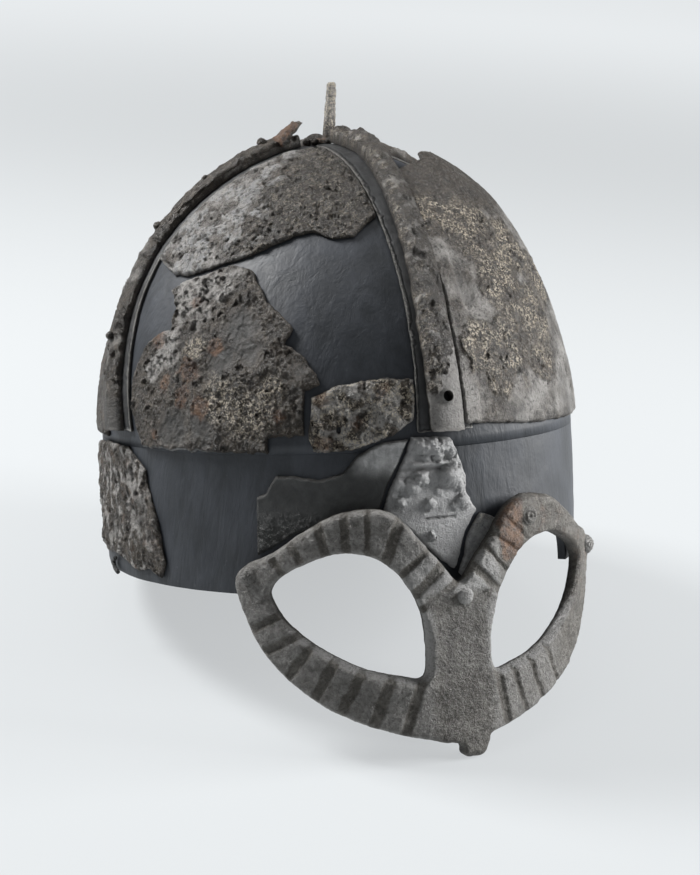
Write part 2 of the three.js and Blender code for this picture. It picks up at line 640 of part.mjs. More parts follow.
// Off the head the helmet leans back until it rests on the guard's tip and the brow's rear rim
const rimBack = crownHalfLength * Math.cos(Math.PI / crownSegments);
const lean = Math.atan((guardTipDrop - browHeight) / (guardInnerHalfLength + rimBack));
helmet.rotation.x = -lean;
helmet.updateMatrixWorld(true);
const bounds = new THREE.Box3().setFromObject(helmet, true);
const middle = bounds.getCenter(new THREE.Vector3());
helmet.position.set(-middle.x, -middle.y, -bounds.min.z);

const stand = new THREE.Group();
stand.add(helmet);
export default stand;
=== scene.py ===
import bpy
import numpy as np
from mathutils import Matrix, Vector, noise
from mathutils.geometry import delaunay_2d_cdt
from mathutils.kdtree import KDTree


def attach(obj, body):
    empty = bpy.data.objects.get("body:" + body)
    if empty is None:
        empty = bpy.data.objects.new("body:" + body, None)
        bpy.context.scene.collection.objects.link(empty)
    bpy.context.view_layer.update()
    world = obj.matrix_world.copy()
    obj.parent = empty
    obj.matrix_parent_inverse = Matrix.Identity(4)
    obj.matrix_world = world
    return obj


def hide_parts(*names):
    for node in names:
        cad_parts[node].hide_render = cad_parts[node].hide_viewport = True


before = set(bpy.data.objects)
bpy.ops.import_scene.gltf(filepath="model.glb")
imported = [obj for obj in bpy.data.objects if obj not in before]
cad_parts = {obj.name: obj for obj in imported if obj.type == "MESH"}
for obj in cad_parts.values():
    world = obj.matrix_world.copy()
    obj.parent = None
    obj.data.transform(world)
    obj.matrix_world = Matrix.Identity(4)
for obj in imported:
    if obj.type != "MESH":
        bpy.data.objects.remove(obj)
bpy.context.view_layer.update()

# Restoration shell
CROWN_HALF_WIDTH = 101.5
CROWN_HALF_LENGTH = 115.5
CROWN_HEIGHT = 121.5
CROWN_FULLNESS = 1.94
CROWN_WALL = 3.0
CROWN_SEGMENTS = 36
BROW_HEIGHT = 56.0
BROW_WALL = 3.5
SEAT_GAP = 0.35
ARCH_INNER = 12.0
ARCH_OUTER = 68.5
ARCH_DROP = 33.0
ARCH_CORNER = 9.0
ARCH_SLOPE = 24.0
ARCH_SLOPE_DROP = 12.0
BAND_SEAM = 0.06

# Iron
PLATE_THICKNESS = 2.0
STRIP_THICKNESS = 1.6
STRIP_RIM_HALF_WIDTH = 12.0
STRIP_TOP_HALF_WIDTH = 8.5
RIB_THICKNESS = 5.0
RIB_RIM_HALF_WIDTH = 6.9
RIB_TOP_HALF_WIDTH = 4.8
RIB_EDGE_SHARE = 0.35
FOOT_RISE = 0.055
RIGHT_RIB_BREAK = 13.0
FRONT_RIB_LIFT = 2.2
TAB_HOLE_RADIUS = 2.0
TAB_HOLE_RISE = 0.16
LEFT_PLATE_LIFT = 5.4
LEFT_PLATE_TOP_LIFT = 1.6
SPIKE_HEIGHT = 24.0
SPIKE_BASE_WIDTH = 5.0
SPIKE_TIP_WIDTH = 3.4
SPIKE_FOOT_RADIUS = 6.5
SPIKE_FOOT_THICKNESS = 2.4

# Spectacle guard
GUARD_THICKNESS = 4.5
GUARD_STAND_FRONT = 5.8
GUARD_STAND_SIDE = 0.3
GUARD_TIP_DROP = 122.0
GUARD_BAR_RISE = 0.8

CLIMB_POWER = 2 / CROWN_FULLNESS
STRIP_TOP = SEAT_GAP + STRIP_THICKNESS
RIB_SEAT = STRIP_TOP + SEAT_GAP
GUARD_HALF_WIDTH = CROWN_HALF_WIDTH + GUARD_STAND_SIDE
GUARD_HALF_LENGTH = CROWN_HALF_LENGTH + GUARD_STAND_FRONT
# Flat millimetres to a degree, on the crown and the guard and on the brow
CLIMB_STEP = 2.0
BROW_STEP = 1.9

# Fragment outlines: azimuth in degrees from the face, rise as a share of the crown's height
TOP_PLATE = [
    (-90, 0.67), (-87, 0.63), (-79, 0.6), (-73, 0.575), (-67, 0.57), (-57, 0.6), (-50, 0.62),
    (-43, 0.65), (-34, 0.69), (-28, 0.7), (-22, 0.675), (-16, 0.68), (-11, 0.72), (-2, 0.77),
    (-2, 0.988), (-92, 0.988), (-96, 0.8),
]
LARGE_PLATE = [
    (-73, 0.006), (-76, 0.08), (-79, 0.22), (-77, 0.3), (-72, 0.38), (-67, 0.4), (-67, 0.46),
    (-71, 0.52), (-68, 0.55), (-58, 0.58), (-52, 0.605), (-45, 0.58), (-40, 0.48), (-33, 0.4),
    (-35, 0.35), (-30, 0.3), (-27, 0.22), (-30.5, 0.2), (-31, 0.06), (-39, 0.055), (-39, 0.006),
]
SMALL_PLATE = [
    (-29, 0.006), (-30, 0.05), (-29, 0.18), (-23, 0.215), (-16, 0.23), (-6, 0.225), (-7, 0.1),
    (-10.5, 0.06), (-18, 0.02), (-23, 0.006),
]
LEFT_PLATE = [
    (3, 0.075), (12, 0.065), (27, 0.045), (48, 0.035), (66, 0.045), (88, 0.05), (90, 0.5),
    (88, 0.86), (64, 0.9), (42, 0.908), (34, 0.89), (20, 0.885), (4, 0.87),
]
REAR_PLATE = [
    (92, 0.02), (120, 0.012), (150, 0.02), (178, 0.012), (178, 0.5), (177, 0.86), (150, 0.93),
    (120, 0.92), (92, 0.85), (91, 0.4),
]

# Brow fragments: azimuth, and drop as a share of the brow's height below the crown's lower edge
SIDE_BROW = [
    (-104, 0.03), (-92, 0), (-80, 0), (-73, 0.16), (-72, 0.32), (-70, 0.47), (-68.5, 0.66),
    (-67.5, 0.84), (-69, 0.95), (-73, 0.89), (-78, 0.93), (-84, 0.87), (-91, 0.85), (-98, 0.87),
    (-106, 0.82), (-108, 0.4),
]
DARK_BROW = [
    (-42, 0.3), (-40, 0.27), (-37.5, 0.15), (-33, 0.15), (-28, 0.18), (-23, 0.13), (-19.5, 0.01),
    (-14, -0.07), (-8.5, -0.08), (-10, 0.02), (-13.5, 0.24), (-15.5, 0.4), (-24, 0.48),
    (-34, 0.56), (-42.5, 0.72),
]
CENTRE_BROW = [
    (-8, -0.09), (1, -0.08), (2.5, 0.04), (4.5, 0.2), (4.5, 0.33), (7, 0.46), (5.5, 0.52),
    (3.5, 0.62), (2.5, 0.76), (1, 0.86), (-2.5, 0.78), (-8, 0.6), (-14.8, 0.4), (-12.8, 0.24),
    (-9.3, 0.02),
]
STRIP_BROW = [
    (8, 0.48), (12.5, 0.54), (12, 0.6), (8, 0.74), (3.5, 0.94), (2, 0.89), (3.5, 0.77),
    (4.5, 0.63), (6.5, 0.54),
]

# Guard: azimuth on the wearer's left, and drop as a share of the tip's drop
GUARD_EDGE = [
    (0, 0.425), (4, 0.36), (8, 0.29), (12, 0.215), (16, 0.18), (21, 0.175), (27, 0.195),
    (33, 0.245), (40, 0.315), (45, 0.35), (48, 0.405), (46.5, 0.5), (43, 0.62), (37, 0.725),
    (30, 0.805), (21, 0.87), (13, 0.91), (7, 0.935),
]
GUARD_TIP = [(6.3, 0.955), (5, 0.99), (3.6, 1), (0.6, 1), (-0.6, 0.985), (-1.2, 0.955)]
EYE_HOLE = [
    (8.5, 0.722), (7.9, 0.6), (9, 0.5), (12, 0.415), (16, 0.35), (21, 0.316), (26.5, 0.313),
    (33, 0.348), (38, 0.39), (40.5, 0.44), (38.5, 0.51), (34, 0.58), (28, 0.64), (21, 0.69),
    (14, 0.717),
]

# The right strip and rib stray forward of the middle plane: rise, millimetres
RIGHT_STRAY = [
    (0, 15), (0.16, 9), (0.35, 2.5), (0.5, -2.5), (0.66, -4.5), (0.8, -1), (0.9, 2.5), (1, 4),
]
# Near the apex the front rib and the strip under it stray to the wearer's left
FRONT_RIB_STRAY = [
    (0, 0), (0.39, 0), (0.515, 1.1), (0.66, 2.6), (0.78, 4), (0.87, 5.5), (0.95, 7), (1, 5.5),
]
FRONT_STRIP_STRAY = [(0, 0), (0.3, 1.5), (0.5, 2.2), (0.9, 3), (1, 3)]


def radians(angle):
    return np.radians(np.asarray(angle, float))


def signed_power(value):
    return np.sign(value) * np.abs(value) ** CLIMB_POWER


def climb_at(rise):
    """The crown's profile angle, 0 at the lower edge and 90 at the apex."""
    return np.degrees(np.arcsin(np.clip(np.asarray(rise, float), 0, 1) ** (1 / CLIMB_POWER)))


def smooth(low, high, value):
    share = np.clip((value - low) / (high - low), 0, 1)
    return share * share * (3 - 2 * share)


def crown_points(azimuth, climb, offset):
    ring = signed_power(np.cos(radians(climb)))
    return np.stack([
        (CROWN_HALF_WIDTH + offset) * ring * np.sin(radians(azimuth)),
        -(CROWN_HALF_LENGTH + offset) * ring * np.cos(radians(azimuth)),
        (CROWN_HEIGHT + offset) * signed_power(np.sin(radians(climb))),
    ], -1)


def onto_crown(points, offset):
    offset = np.broadcast_to(offset, points.shape[:1])
    wide = points[:, 0] / (CROWN_HALF_WIDTH + offset)
    long = points[:, 1] / (CROWN_HALF_LENGTH + offset)
    high = np.maximum(points[:, 2], 0) / (CROWN_HEIGHT + offset)
    full = CROWN_FULLNESS
    size = (np.hypot(wide, long) ** full + high ** full) ** (1 / full)
    return points / size[:, None]


def ring_points(azimuth, height, half_width, half_length):
    turned = radians(azimuth)
    return np.stack([half_width * np.sin(turned), -half_length * np.cos(turned), height], -1)


def brow_points(azimuth, height, offset):
    return ring_points(azimuth, height, CROWN_HALF_WIDTH + offset, CROWN_HALF_LENGTH + offset)


def guard_points(azimuth, height, offset):
    return ring_points(azimuth, height, GUARD_HALF_WIDTH + offset, GUARD_HALF_LENGTH + offset)


def azimuth_of(points):
    return np.degrees(np.arctan2(points[:, 0], -points[:, 1]))


def rise_of(points):
    return points[:, 2] / CROWN_HEIGHT


# Off the head the helmet leans back on the guard's tip and the brow's rear rim
rim_back = CROWN_HALF_LENGTH * np.cos(np.pi / CROWN_SEGMENTS)
lean = np.arctan((GUARD_TIP_DROP - BROW_HEIGHT) / (GUARD_HALF_LENGTH + rim_back))
turn = np.array(Matrix.Rotation(-lean, 3, "X"))
crown_corners = np.array([v.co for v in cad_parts["crown_base"].data.vertices]) @ turn
crown_low, crown_high = crown_corners.min(0), crown_corners.max(0)
shift = turn @ np.array([*((crown_low + crown_high) / 2)[:2], crown_low[2]])


def to_world(points):
    return np.asarray(points) @ turn.T / 1000 + shift


# Flat maps: each surface is laid out in flat millimetres, cut there and carried back
def crown_flat(azimuth, climb):
    reach = (90 - np.asarray(climb, float)) * CLIMB_STEP
    return np.stack([reach * np.sin(radians(azimuth)), -reach * np.cos(radians(azimuth))], -1)


def on_crown(flat, offset):
    climb = 90 - np.hypot(flat[:, 0], flat[:, 1]) / CLIMB_STEP
    return crown_points(azimuth_of(flat), climb, offset)


def on_brow(flat, offset):
    return brow_points(flat[:, 0] / BROW_STEP, flat[:, 1], offset)


def on_guard(flat, offset):
    return guard_points(flat[:, 0] / CLIMB_STEP, flat[:, 1], offset)


def on_arm(azimuth, stray):
    """A map for an arm over the crown: sideways millimetres, and climb along it."""
    across = np.array([np.cos(radians(azimuth)), np.sin(radians(azimuth)), 0])

    def place(flat, offset):
        climb = flat[:, 1] / CLIMB_STEP
        points = crown_points(azimuth, climb, 0)
        sideways = flat[:, 0] + stray(np.clip(points[:, 2] / CROWN_HEIGHT, 0, 1))
        return onto_crown(points + sideways[:, None] * across, offset)
    return place


def stray_along(rows):
    """How far an arm strays sideways at a rise, from rows of rise and millimetres."""
    marks, millimetres = np.array(rows, float).T
    return lambda rise: np.interp(rise, marks, millimetres)


no_stray = stray_along([(0, 0), (1, 0)])
right_stray = stray_along(RIGHT_STRAY)
front_rib_stray = stray_along(FRONT_RIB_STRAY)
front_strip_stray = stray_along(FRONT_STRIP_STRAY)


# Noise
def fractal(points, size, octaves=4, seed=0):
    """Soft noise from about -1 to 1, with features of the given size."""
    places = (points / size + 19.7 * seed).tolist()
    return np.array([noise.fractal(place, 1.0, 2.0, octaves) for place in places])


def cells(points, size, seed=0):
    """The distance to the nearest scattered centre as a share of size, and that centre's number."""
    found = [noise.voronoi(place) for place in (points / size + 7.3 * seed).tolist()]
    near = np.array([distances[0] for distances, _ in found])
    centres = np.array([spots[0] for _, spots in found])
    number = np.sin(centres @ np.array([127.1, 311.7, 74.7])) * 4375.85
    return near, number - np.floor(number)


def warped(points, size, amount, seed):
    """Points moved about, so that what is scattered on them has uneven shapes."""
    drift = [fractal(points, size * 0.6, 2, seed + k) for k in (1, 2, 3)]
    return points + amount * size * np.stack(drift, -1)


def pits(points, size, share, depth, seed):
    """Round hollows with a low rim. Returns their height, and how deep each point lies."""
    near, number = cells(warped(points, size, 0.4, seed), size, seed)
    radius = 0.2 + 0.28 * number
    bowl = 1 - smooth(radius * 0.4, radius, near)
    rim = smooth(radius * 0.75, radius, near) * (1 - smooth(radius, radius * 1.5, near))
    chosen = (number * 7.31 % 1) < share
    return chosen * (0.35 * rim - bowl) * depth, chosen * bowl


def grains(points, size, share, seed):
    """Small lumps side by side, each with its own height from 0 to 1."""
    near, number = cells(warped(points, size, 0.3, seed), size, seed)
    return np.sqrt(np.clip(1 - (near / 0.6) ** 2, 0, 1)) * smooth(1 - share, 1, number)


def rust_skin(points, seed, grain=1.0, pit=0.4, depth=0.8):
    """The relief of rusted iron. Returns its height, its lumps and its hollows."""
    coarse = grains(points, 2.6, 0.6, seed + 1)
    small = grains(points, 1.5, 0.7, seed + 2)
    bowls, deep = pits(points, 3.2, pit, depth, seed + 3)
    wide, wide_deep = pits(points, 7.0, 0.6 * pit, 1.3 * depth, seed + 4)
    height = 0.45 * fractal(points, 7, 4, seed) + grain * (0.6 * coarse + 0.38 * small - 0.3)
    return height + bowls + wide, np.clip(0.6 * coarse + 0.5 * small, 0, 1), np.clip(deep + wide_deep, 0, 1)


def flakes(points, size, step, seed):
    """Thin layers that have split away: a stepped surface."""
    level = fractal(points, size, 4, seed) * 3
    floor = np.floor(level)
    return (floor + smooth(0.8, 1, level - floor)) * step


# Outlines
def trace(corners, step):
    """Points along a closed outline, evenly spaced on each side."""
    corners = np.asarray(corners, float)
    points = []
    for start, end in zip(corners, np.roll(corners, -1, 0)):
        count = max(1, int(np.ceil(np.hypot(*(end - start)) / step)))
        points += [start + (end - start) * k / count for k in range(count)]
    return np.array(points)


def curve_through(rows, step):
    """A smooth closed curve through the rows."""
    rows = np.asarray(rows, float)
    before, after, next_after = np.roll(rows, 1, 0), np.roll(rows, -1, 0), np.roll(rows, -2, 0)
    points = []
    for p0, p1, p2, p3 in zip(before, rows, after, next_after):
        count = max(1, int(np.ceil(np.hypot(*(p2 - p1)) / step)))
        for t in np.arange(count) / count:
            points.append(0.5 * (2 * p1 + (p2 - p0) * t + (2 * p0 - 5 * p1 + 4 * p2 - p3) * t * t
                                 + (3 * p1 - 3 * p2 + p3 - p0) * t ** 3))
    return np.array(points)


def evened(loop, step):
    """The same closed outline with evenly spaced points."""
    closed = np.vstack([loop, loop[:1]])
    along = np.concatenate([[0], np.cumsum(np.hypot(*np.diff(closed, axis=0).T))])
    marks = np.linspace(0, along[-1], max(8, int(along[-1] / step)), endpoint=False)
    return np.stack([np.interp(marks, along, closed[:, k]) for k in (0, 1)], -1)


def without_folds(loop):
    """Drops the points where an outline doubles back on itself."""
    points = list(loop)
    k, steady = 0, 0
    while steady <= len(points):
        before, here, after = points[k - 1], points[k], points[(k + 1) % len(points)]
        first, second = here - before, after - here
        lengths = np.hypot(*first) * np.hypot(*second)
        if lengths < 1e-9 or np.dot(first, second) < -0.6 * lengths:
            points.pop(k)
            k, steady = (k - 1) % len(points), 0
        else:
            k, steady = (k + 1) % len(points), steady + 1
    return np.array(points)


def fray(loop, amount, size, seed):
    """A ragged edge: each point moves along the outline's normal."""
    tangent = np.roll(loop, -1, 0) - np.roll(loop, 1, 0)
    normal = np.stack([tangent[:, 1], -tangent[:, 0]], -1) / np.hypot(*tangent.T)[:, None]
    spots = np.column_stack([loop, np.zeros(len(loop))])
    ragged = fractal(spots, size, 3, seed) + 0.45 * fractal(spots, size * 0.22, 2, seed + 5)
    return loop + normal * ragged[:, None] * amount


def is_inside(points, loop):
    inside = np.zeros(len(points), bool)
    for (x0, y0), (x1, y1) in zip(loop, np.roll(loop, -1, 0)):
        if y0 != y1:
            crosses = (points[:, 1] > y0) != (points[:, 1] > y1)
            inside ^= crosses & (points[:, 0] < x0 + (points[:, 1] - y0) * (x1 - x0) / (y1 - y0))
    return inside


def signed_area(loop):
    after = np.roll(loop, -1, 0)
    return 0.5 * np.sum(loop[:, 0] * after[:, 1] - after[:, 0] * loop[:, 1])


def edge_distance(points, loop):
    fine = trace(loop, 0.25)
    tree = KDTree(len(fine))
    for index, (x, y) in enumerate(fine.tolist()):
        tree.insert((x, y, 0), index)
    tree.balance()
    return np.array([tree.find((x, y, 0))[2] for x, y in points.tolist()])


def filled(loops, cell, seed):
    """Flat points and triangles inside the first loop and outside the others, loops' points first."""
    low, high = loops[0].min(0), loops[0].max(0)
    grid = np.stack(np.meshgrid(*[np.arange(a, b, cell) for a, b in zip(low, high)]), -1).reshape(-1, 2)
    grid += np.random.default_rng(seed).uniform(-0.25, 0.25, grid.shape) * cell
    keep = is_inside(grid, loops[0])
    for hole in loops[1:]:
        keep &= ~is_inside(grid, hole)
    grid = grid[keep]
    rim = np.min([edge_distance(grid, loop) for loop in loops], 0)
    points = np.vstack([*loops, grid[rim > cell * 0.5]])
    chains, start = [], 0
    for loop in loops:
        chains.append(list(range(start, start + len(loop))))
        start += len(loop)
    edges = [(a, b) for chain in chains[1:] for a, b in zip(chain, chain[1:] + chain[:1])]
    result = delaunay_2d_cdt([Vector(p) for p in points.tolist()], edges, chains[:1], 1, 1e-6)
    order = [origin[0] if origin else -1 for origin in result[3]]
    if len(result[0]) != len(points) or min(order) < 0:
        raise ValueError("an outline crosses itself")
    triangles = np.array(order)[np.array(result[2])]
    centres = points[triangles].mean(1)
    for hole in loops[1:]:
        triangles = triangles[~is_inside(centres, hole)]
        centres = points[triangles].mean(1)
    sides = points[triangles[:, 1:]] - points[triangles[:, :1]]
    turned = sides[:, 0, 0] * sides[:, 1, 1] - sides[:, 0, 1] * sides[:, 1, 0] < 0
    triangles[turned] = triangles[turned][:, ::-1]
    return points, triangles, chains


SHARP_ANGLE = radians(58)
# The masks that the iron finishes read from each piece
# The hollows' mask is painted shade: darker in pits, grooves and slits, along plate rims and on the plates'
# inner sides. The light and dark masks carry painted light and shade on some pieces.
MASKS = ("pale", "rust", "crust", "hollow", "grain", "calm", "light", "dark", "even")


def masks_of(points, **given):
    """Every mask for these points: the given ones, and zeros for the others."""
    return {key: np.zeros(len(points)) + given.get(key, 0) for key in MASKS}


def paint(mesh, masks):
    for key, values in masks.items():
        attribute = mesh.attributes.new(key, "FLOAT", "POINT")
        attribute.data.foreach_set("value", np.broadcast_to(values, len(mesh.vertices)).astype(np.float32))


def linked(name, data):
    """A new object in the scene."""
    made = bpy.data.objects.new(name, data)
    bpy.context.scene.collection.objects.link(made)
    return made


def new_piece(name, points, faces, material, masks):
    """A mesh object from points in the helmet's frame, with its place in its mesh."""
    mesh = bpy.data.meshes.new(name)
    mesh.from_pydata(to_world(points).tolist(), [], np.asarray(faces).tolist())
    paint(mesh, masks)
    mesh.shade_smooth()
    mesh.set_sharp_from_angle(angle=float(SHARP_ANGLE))
    mesh.materials.append(material)
    return linked(name, mesh)


def sheet(name, loops, place, finish, under, material, cell, back_cell=4.0, seed=1):
    """A plate cut to the loops. finish(flat, rims, points) gives the outer side's offset and masks,
    and under(flat) the inner side's offset. The rims are the distances to each loop."""
    loops = [loop if signed_area(loop) * sign > 0 else loop[::-1]
             for loop, sign in zip(loops, [1] + [-1] * (len(loops) - 1))]
    front, front_faces, chains = filled(loops, cell, seed)
    back, back_faces, _ = filled(loops, back_cell, seed)
    rims = [edge_distance(front, loop) for loop in loops]
    offset, masks = finish(front, rims, place(front, under(front)))
    points = np.vstack([place(front, offset), place(back, under(back))])
    back_faces = back_faces[:, ::-1] + len(front)
    walls = []
    for chain in chains:
        here, there = np.array(chain), np.roll(chain, -1)
        low_here, low_there = here + len(front), there + len(front)
        walls.append(np.stack([low_here, low_there, there], -1))
        walls.append(np.stack([low_here, there, here], -1))
    faces = np.vstack([front_faces, back_faces, *walls])
    middle = front[front_faces[0]]
    corner = place(middle, 0.0)
    outward = place(middle[:1], 1.0)[0] - corner[0]
    if np.dot(np.cross(corner[1] - corner[0], corner[2] - corner[0]), outward) < 0:
        faces = faces[:, ::-1]
    # The inner side is painted full shade through the hollows' mask.
    masks = {key: np.concatenate([values, np.full(len(back), float(key == "hollow"))])
             for key, values in masks.items()}
    return new_piece(name, points, faces, material, masks)


# Materials
class Tree:
    """Adds nodes to a node tree, and sets or links their sockets."""

    def add(self, kind, sockets=(), **settings):
        node = self.tree.nodes.new(kind)
        for key, value in settings.items():
            setattr(node, key, value)
        for key, value in dict(sockets).items():
            self.feed(node.inputs[key], value)
        return node

    def feed(self, socket, value):
        if isinstance(value, bpy.types.NodeSocket):
            self.tree.links.new(value, socket)
        else:
            socket.default_value = value

    def math(self, operation, *values):
        return self.add("ShaderNodeMath", dict(enumerate(values)), operation=operation).outputs[0]

    def plus(self, first, second):
        return self.math("ADD", first, second)

    def times(self, first, second):
        return self.math("MULTIPLY", first, second)


class Finish(Tree):
    """Builds one material's nodes. Sizes of patterns are millimetres."""

    def __init__(self, name):
        self.material = bpy.data.materials.new(name)
        self.material.use_nodes = True
        self.tree = self.material.node_tree
        self.shader = self.tree.nodes["Principled BSDF"]
        self.place = self.tree.nodes.new("ShaderNodeTexCoord").outputs["Object"]

    def noise(self, size, detail=4.0, rough=0.6, place=None, warp=0.0):
        sockets = {"Vector": place or self.place, "Scale": 1000 / size, "Detail": detail,
                   "Roughness": rough, "Distortion": warp}
        return self.add("ShaderNodeTexNoise", sockets).outputs["Fac"]

    def stretched(self, along):
        """Object coordinates turned to the worn helmet, with the pattern drawn out along its height."""
        sockets = {"Vector": self.place, "Rotation": (float(lean), 0, 0), "Scale": (1, 1, along)}
        return self.add("ShaderNodeMapping", sockets, vector_type="POINT").outputs["Vector"]

    def step(self, value, low, high):
        sockets = {"Value": value, "From Min": low, "From Max": high}
        return self.add("ShaderNodeMapRange", sockets, interpolation_type="SMOOTHSTEP").outputs["Result"]

    def mask(self, name):
        return self.add("ShaderNodeAttribute", attribute_name=name).outputs["Fac"]

    def blend(self, factor, first, second):
        node = self.add("ShaderNodeMix", data_type="RGBA")
        for index, value in ((0, factor), (6, first), (7, second)):
            value = (*value, 1) if isinstance(value, tuple) else value
            self.feed(node.inputs[index], value)
        return node.outputs[2]

    def bump(self, height, distance, normal=None):
        """distance is the height of the relief in millimetres."""
        sockets = {"Height": height, "Distance": distance / 1000}
        if normal:
            sockets["Normal"] = normal
        return self.add("ShaderNodeBump", sockets).outputs["Normal"]

    def done(self, colour, roughness, normal, metal=0.0, gloss=0.5):
        self.feed(self.shader.inputs["Base Color"], colour)
        self.feed(self.shader.inputs["Roughness"], roughness)
        self.feed(self.shader.inputs["Normal"], normal)
        self.shader.inputs["Metallic"].default_value = metal
        self.shader.inputs["Specular IOR Level"].default_value = gloss
        return self.material


# Tones that the finishes share, and the relief of the iron's two fine grains in millimetres
FLECK_TONE = (0.1, 0.107, 0.12)
LUMP_TONE = (0.27, 0.25, 0.22)
CREAM_TONE = (0.56, 0.49, 0.38)
# The glint tone is a painted highlight; the shade tone and the hollows' tone are painted shade.
GLINT_TONE = (0.36, 0.34, 0.31)
SHADE_TONE = (0.012, 0.01, 0.008)
HOLLOW_SHADE_TONE = (0.01, 0.008, 0.006)
CALM_TONES = (0.02, 0.021, 0.021), (0.045, 0.046, 0.046)
LIGHT_TONES = (0.2, 0.202, 0.202), (0.38, 0.382, 0.38)
RUST_TONES = (0.07, 0.033, 0.018), (0.2, 0.098, 0.045)
FINE_RELIEF = 2.1
GRIT_RELIEF = 0.8


def painted_shell(name, dark, light):
    """Smooth slate paint with faint brush strokes."""
    f = Finish(name)
    strokes = f.noise(7, 5, 0.65, f.stretched(0.12), 0.4)
    clouds = f.noise(26, 4, 0.55)
    tone = f.step(f.plus(f.times(strokes, 0.55), f.times(clouds, 0.45)), 0.3, 0.72)
    colour = f.blend(tone, dark, light)
    fleck = f.step(f.noise(3.2, 3, 0.7), 0.66, 0.74)
    colour = f.blend(f.times(fleck, 0.25), colour, FLECK_TONE)
    rough = f.plus(f.times(strokes, 0.25), 0.43)
    normal = f.bump(strokes, 0.5)
    normal = f.bump(f.noise(2.4, 3, 0.6), 0.12, normal)
    return f.done(colour, rough, normal, gloss=0.42)


def corroded_iron(name, dark, middle, light, pale, speck=0.5):
    """Rust-pitted iron. The masks say where it is worn pale, rusted, crusted with cream specks, painted with
    shade in its hollows, grained with lumps, calm slate grey, lighter or darker than the rest (on some pieces
    painted light and shade), or even, without specks.
    The glints are painted highlight specks and the shade is painted into the fine relief's low points; speck
    sets the glints and, with them, the lumps."""
    f = Finish(name)
    fine = f.noise(1.5, 6, 0.72)
    broad = f.noise(12, 5, 0.65, warp=0.8)
    mottle = f.noise(3.6, 5, 0.7, warp=0.4)
    grit = f.noise(0.8, 3, 0.7)
    worn, rusted, crust, hollow, grain, calm, light_tone_and_painted_light, dark_tone_and_painted_shade, even = [f.mask(key) for key in MASKS]
    lively = f.math("SUBTRACT", 1.0, f.math("MAXIMUM", calm, even))
    lumps = f.times(grain, f.step(f.plus(fine, f.times(grain, 0.4)), 0.62, 0.9))
    specks = f.step(f.plus(f.times(grit, 0.8), f.times(fine, 0.7)), 0.755, 0.82)
    rust = f.times(rusted, f.step(f.plus(fine, rusted), 0.8, 1.25))
    # Painted highlights: glint specks. Painted shade: the fine relief's low points.
    glints = f.times(f.step(grit, 0.58, 0.68), speck)
    shade = f.times(f.step(fine, 0.5, 0.36), 0.75)
    # From the lowest up: how much of a layer shows, and its colour
    layers = [
        (f.times(f.step(mottle, 0.46, 0.68), 0.7), light),
        (f.times(lumps, speck + 0.25), LUMP_TONE),
        (f.times(worn, f.step(f.plus(mottle, worn), 0.75, 1.3)), pale),
        (f.times(calm, 0.85), f.blend(f.step(broad, 0.3, 0.7), *CALM_TONES)),
        # Darker and lighter patches: on some pieces painted shade and painted light, on others the iron's own
        # tone.
        (f.times(dark_tone_and_painted_shade, 0.7), dark),
        (light_tone_and_painted_light, f.blend(f.step(mottle, 0.3, 0.7), *LIGHT_TONES)),
        (f.times(crust, specks), CREAM_TONE),
        (f.times(rust, 0.9), f.blend(f.step(mottle, 0.4, 0.62), *RUST_TONES)),
        # The last three layers are painted light and shade: highlight glints, shade in the fine relief's low
        # points and shade in the hollows.
        (f.times(glints, lively), GLINT_TONE),
        (f.times(shade, lively), SHADE_TONE),
        (f.times(hollow, 0.7), HOLLOW_SHADE_TONE),
    ]
    colour = f.blend(f.step(broad, 0.36, 0.66), dark, middle)
    for share, tone in layers:
        colour = f.blend(share, colour, tone)
    rough = f.plus(f.times(f.step(mottle, 0.25, 0.75), 0.26), 0.3)
    rough = f.plus(rough, f.plus(f.times(calm, 0.25), f.times(hollow, 0.35)))
    normal = f.bump(f.times(fine, f.plus(f.times(lively, 0.85), 0.15)), FINE_RELIEF)
    normal = f.bump(f.times(grit, lively), GRIT_RELIEF, normal)
    return f.done(colour, rough, normal, 0.1, 0.6)


slate = painted_shell("slate_paint", (0.017, 0.02, 0.024), (0.042, 0.047, 0.057))
brown_iron = corroded_iron("brown_iron", (0.02, 0.015, 0.01), (0.054, 0.041, 0.028), (0.125, 0.101, 0.075),
                           (0.36, 0.345, 0.325))
grey_iron = corroded_iron("grey_iron", (0.09, 0.087, 0.082), (0.15, 0.147, 0.142), (0.23, 0.227, 0.222),
                          (0.32, 0.32, 0.32), speck=0.3)
ring_iron = corroded_iron("ring_iron", (0.062, 0.055, 0.045), (0.12, 0.111, 0.096), (0.21, 0.198, 0.178),
                          (0.27, 0.266, 0.258), speck=0.35)
smooth_iron = corroded_iron("smooth_iron", (0.03, 0.032, 0.03), (0.05, 0.052, 0.05), (0.07, 0.072, 0.07),
                            (0.2, 0.2, 0.2), speck=0.1)
# The strips' near-black tones are their own dark slate deepened as painted shade.
strip_iron = corroded_iron("strip_iron", (0.014, 0.014, 0.015), (0.024, 0.025, 0.027), (0.045, 0.045, 0.045),
                           (0.3, 0.29, 0.27), speck=0.1)


def finished(piece, slot, *nodes):
    """Every piece rides on the one body and stands for its CAD nodes."""
    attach(piece, "root")
    if nodes:
        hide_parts(*nodes)
    return piece


# Camera: the photograph's view, fitted in the worn helmet's frame. Angles in degrees, focal in pixels.
CAMERA_TURN = 22.255
CAMERA_RISE = 6.355
CAMERA_ROLL = -2.361
CAMERA_DISTANCE = 866.279
CAMERA_FOCAL_PX = 1942.996
CAMERA_AIM = (7.147, -6.135)
PHOTO_HEIGHT_PX = 875
SENSOR = 36.0

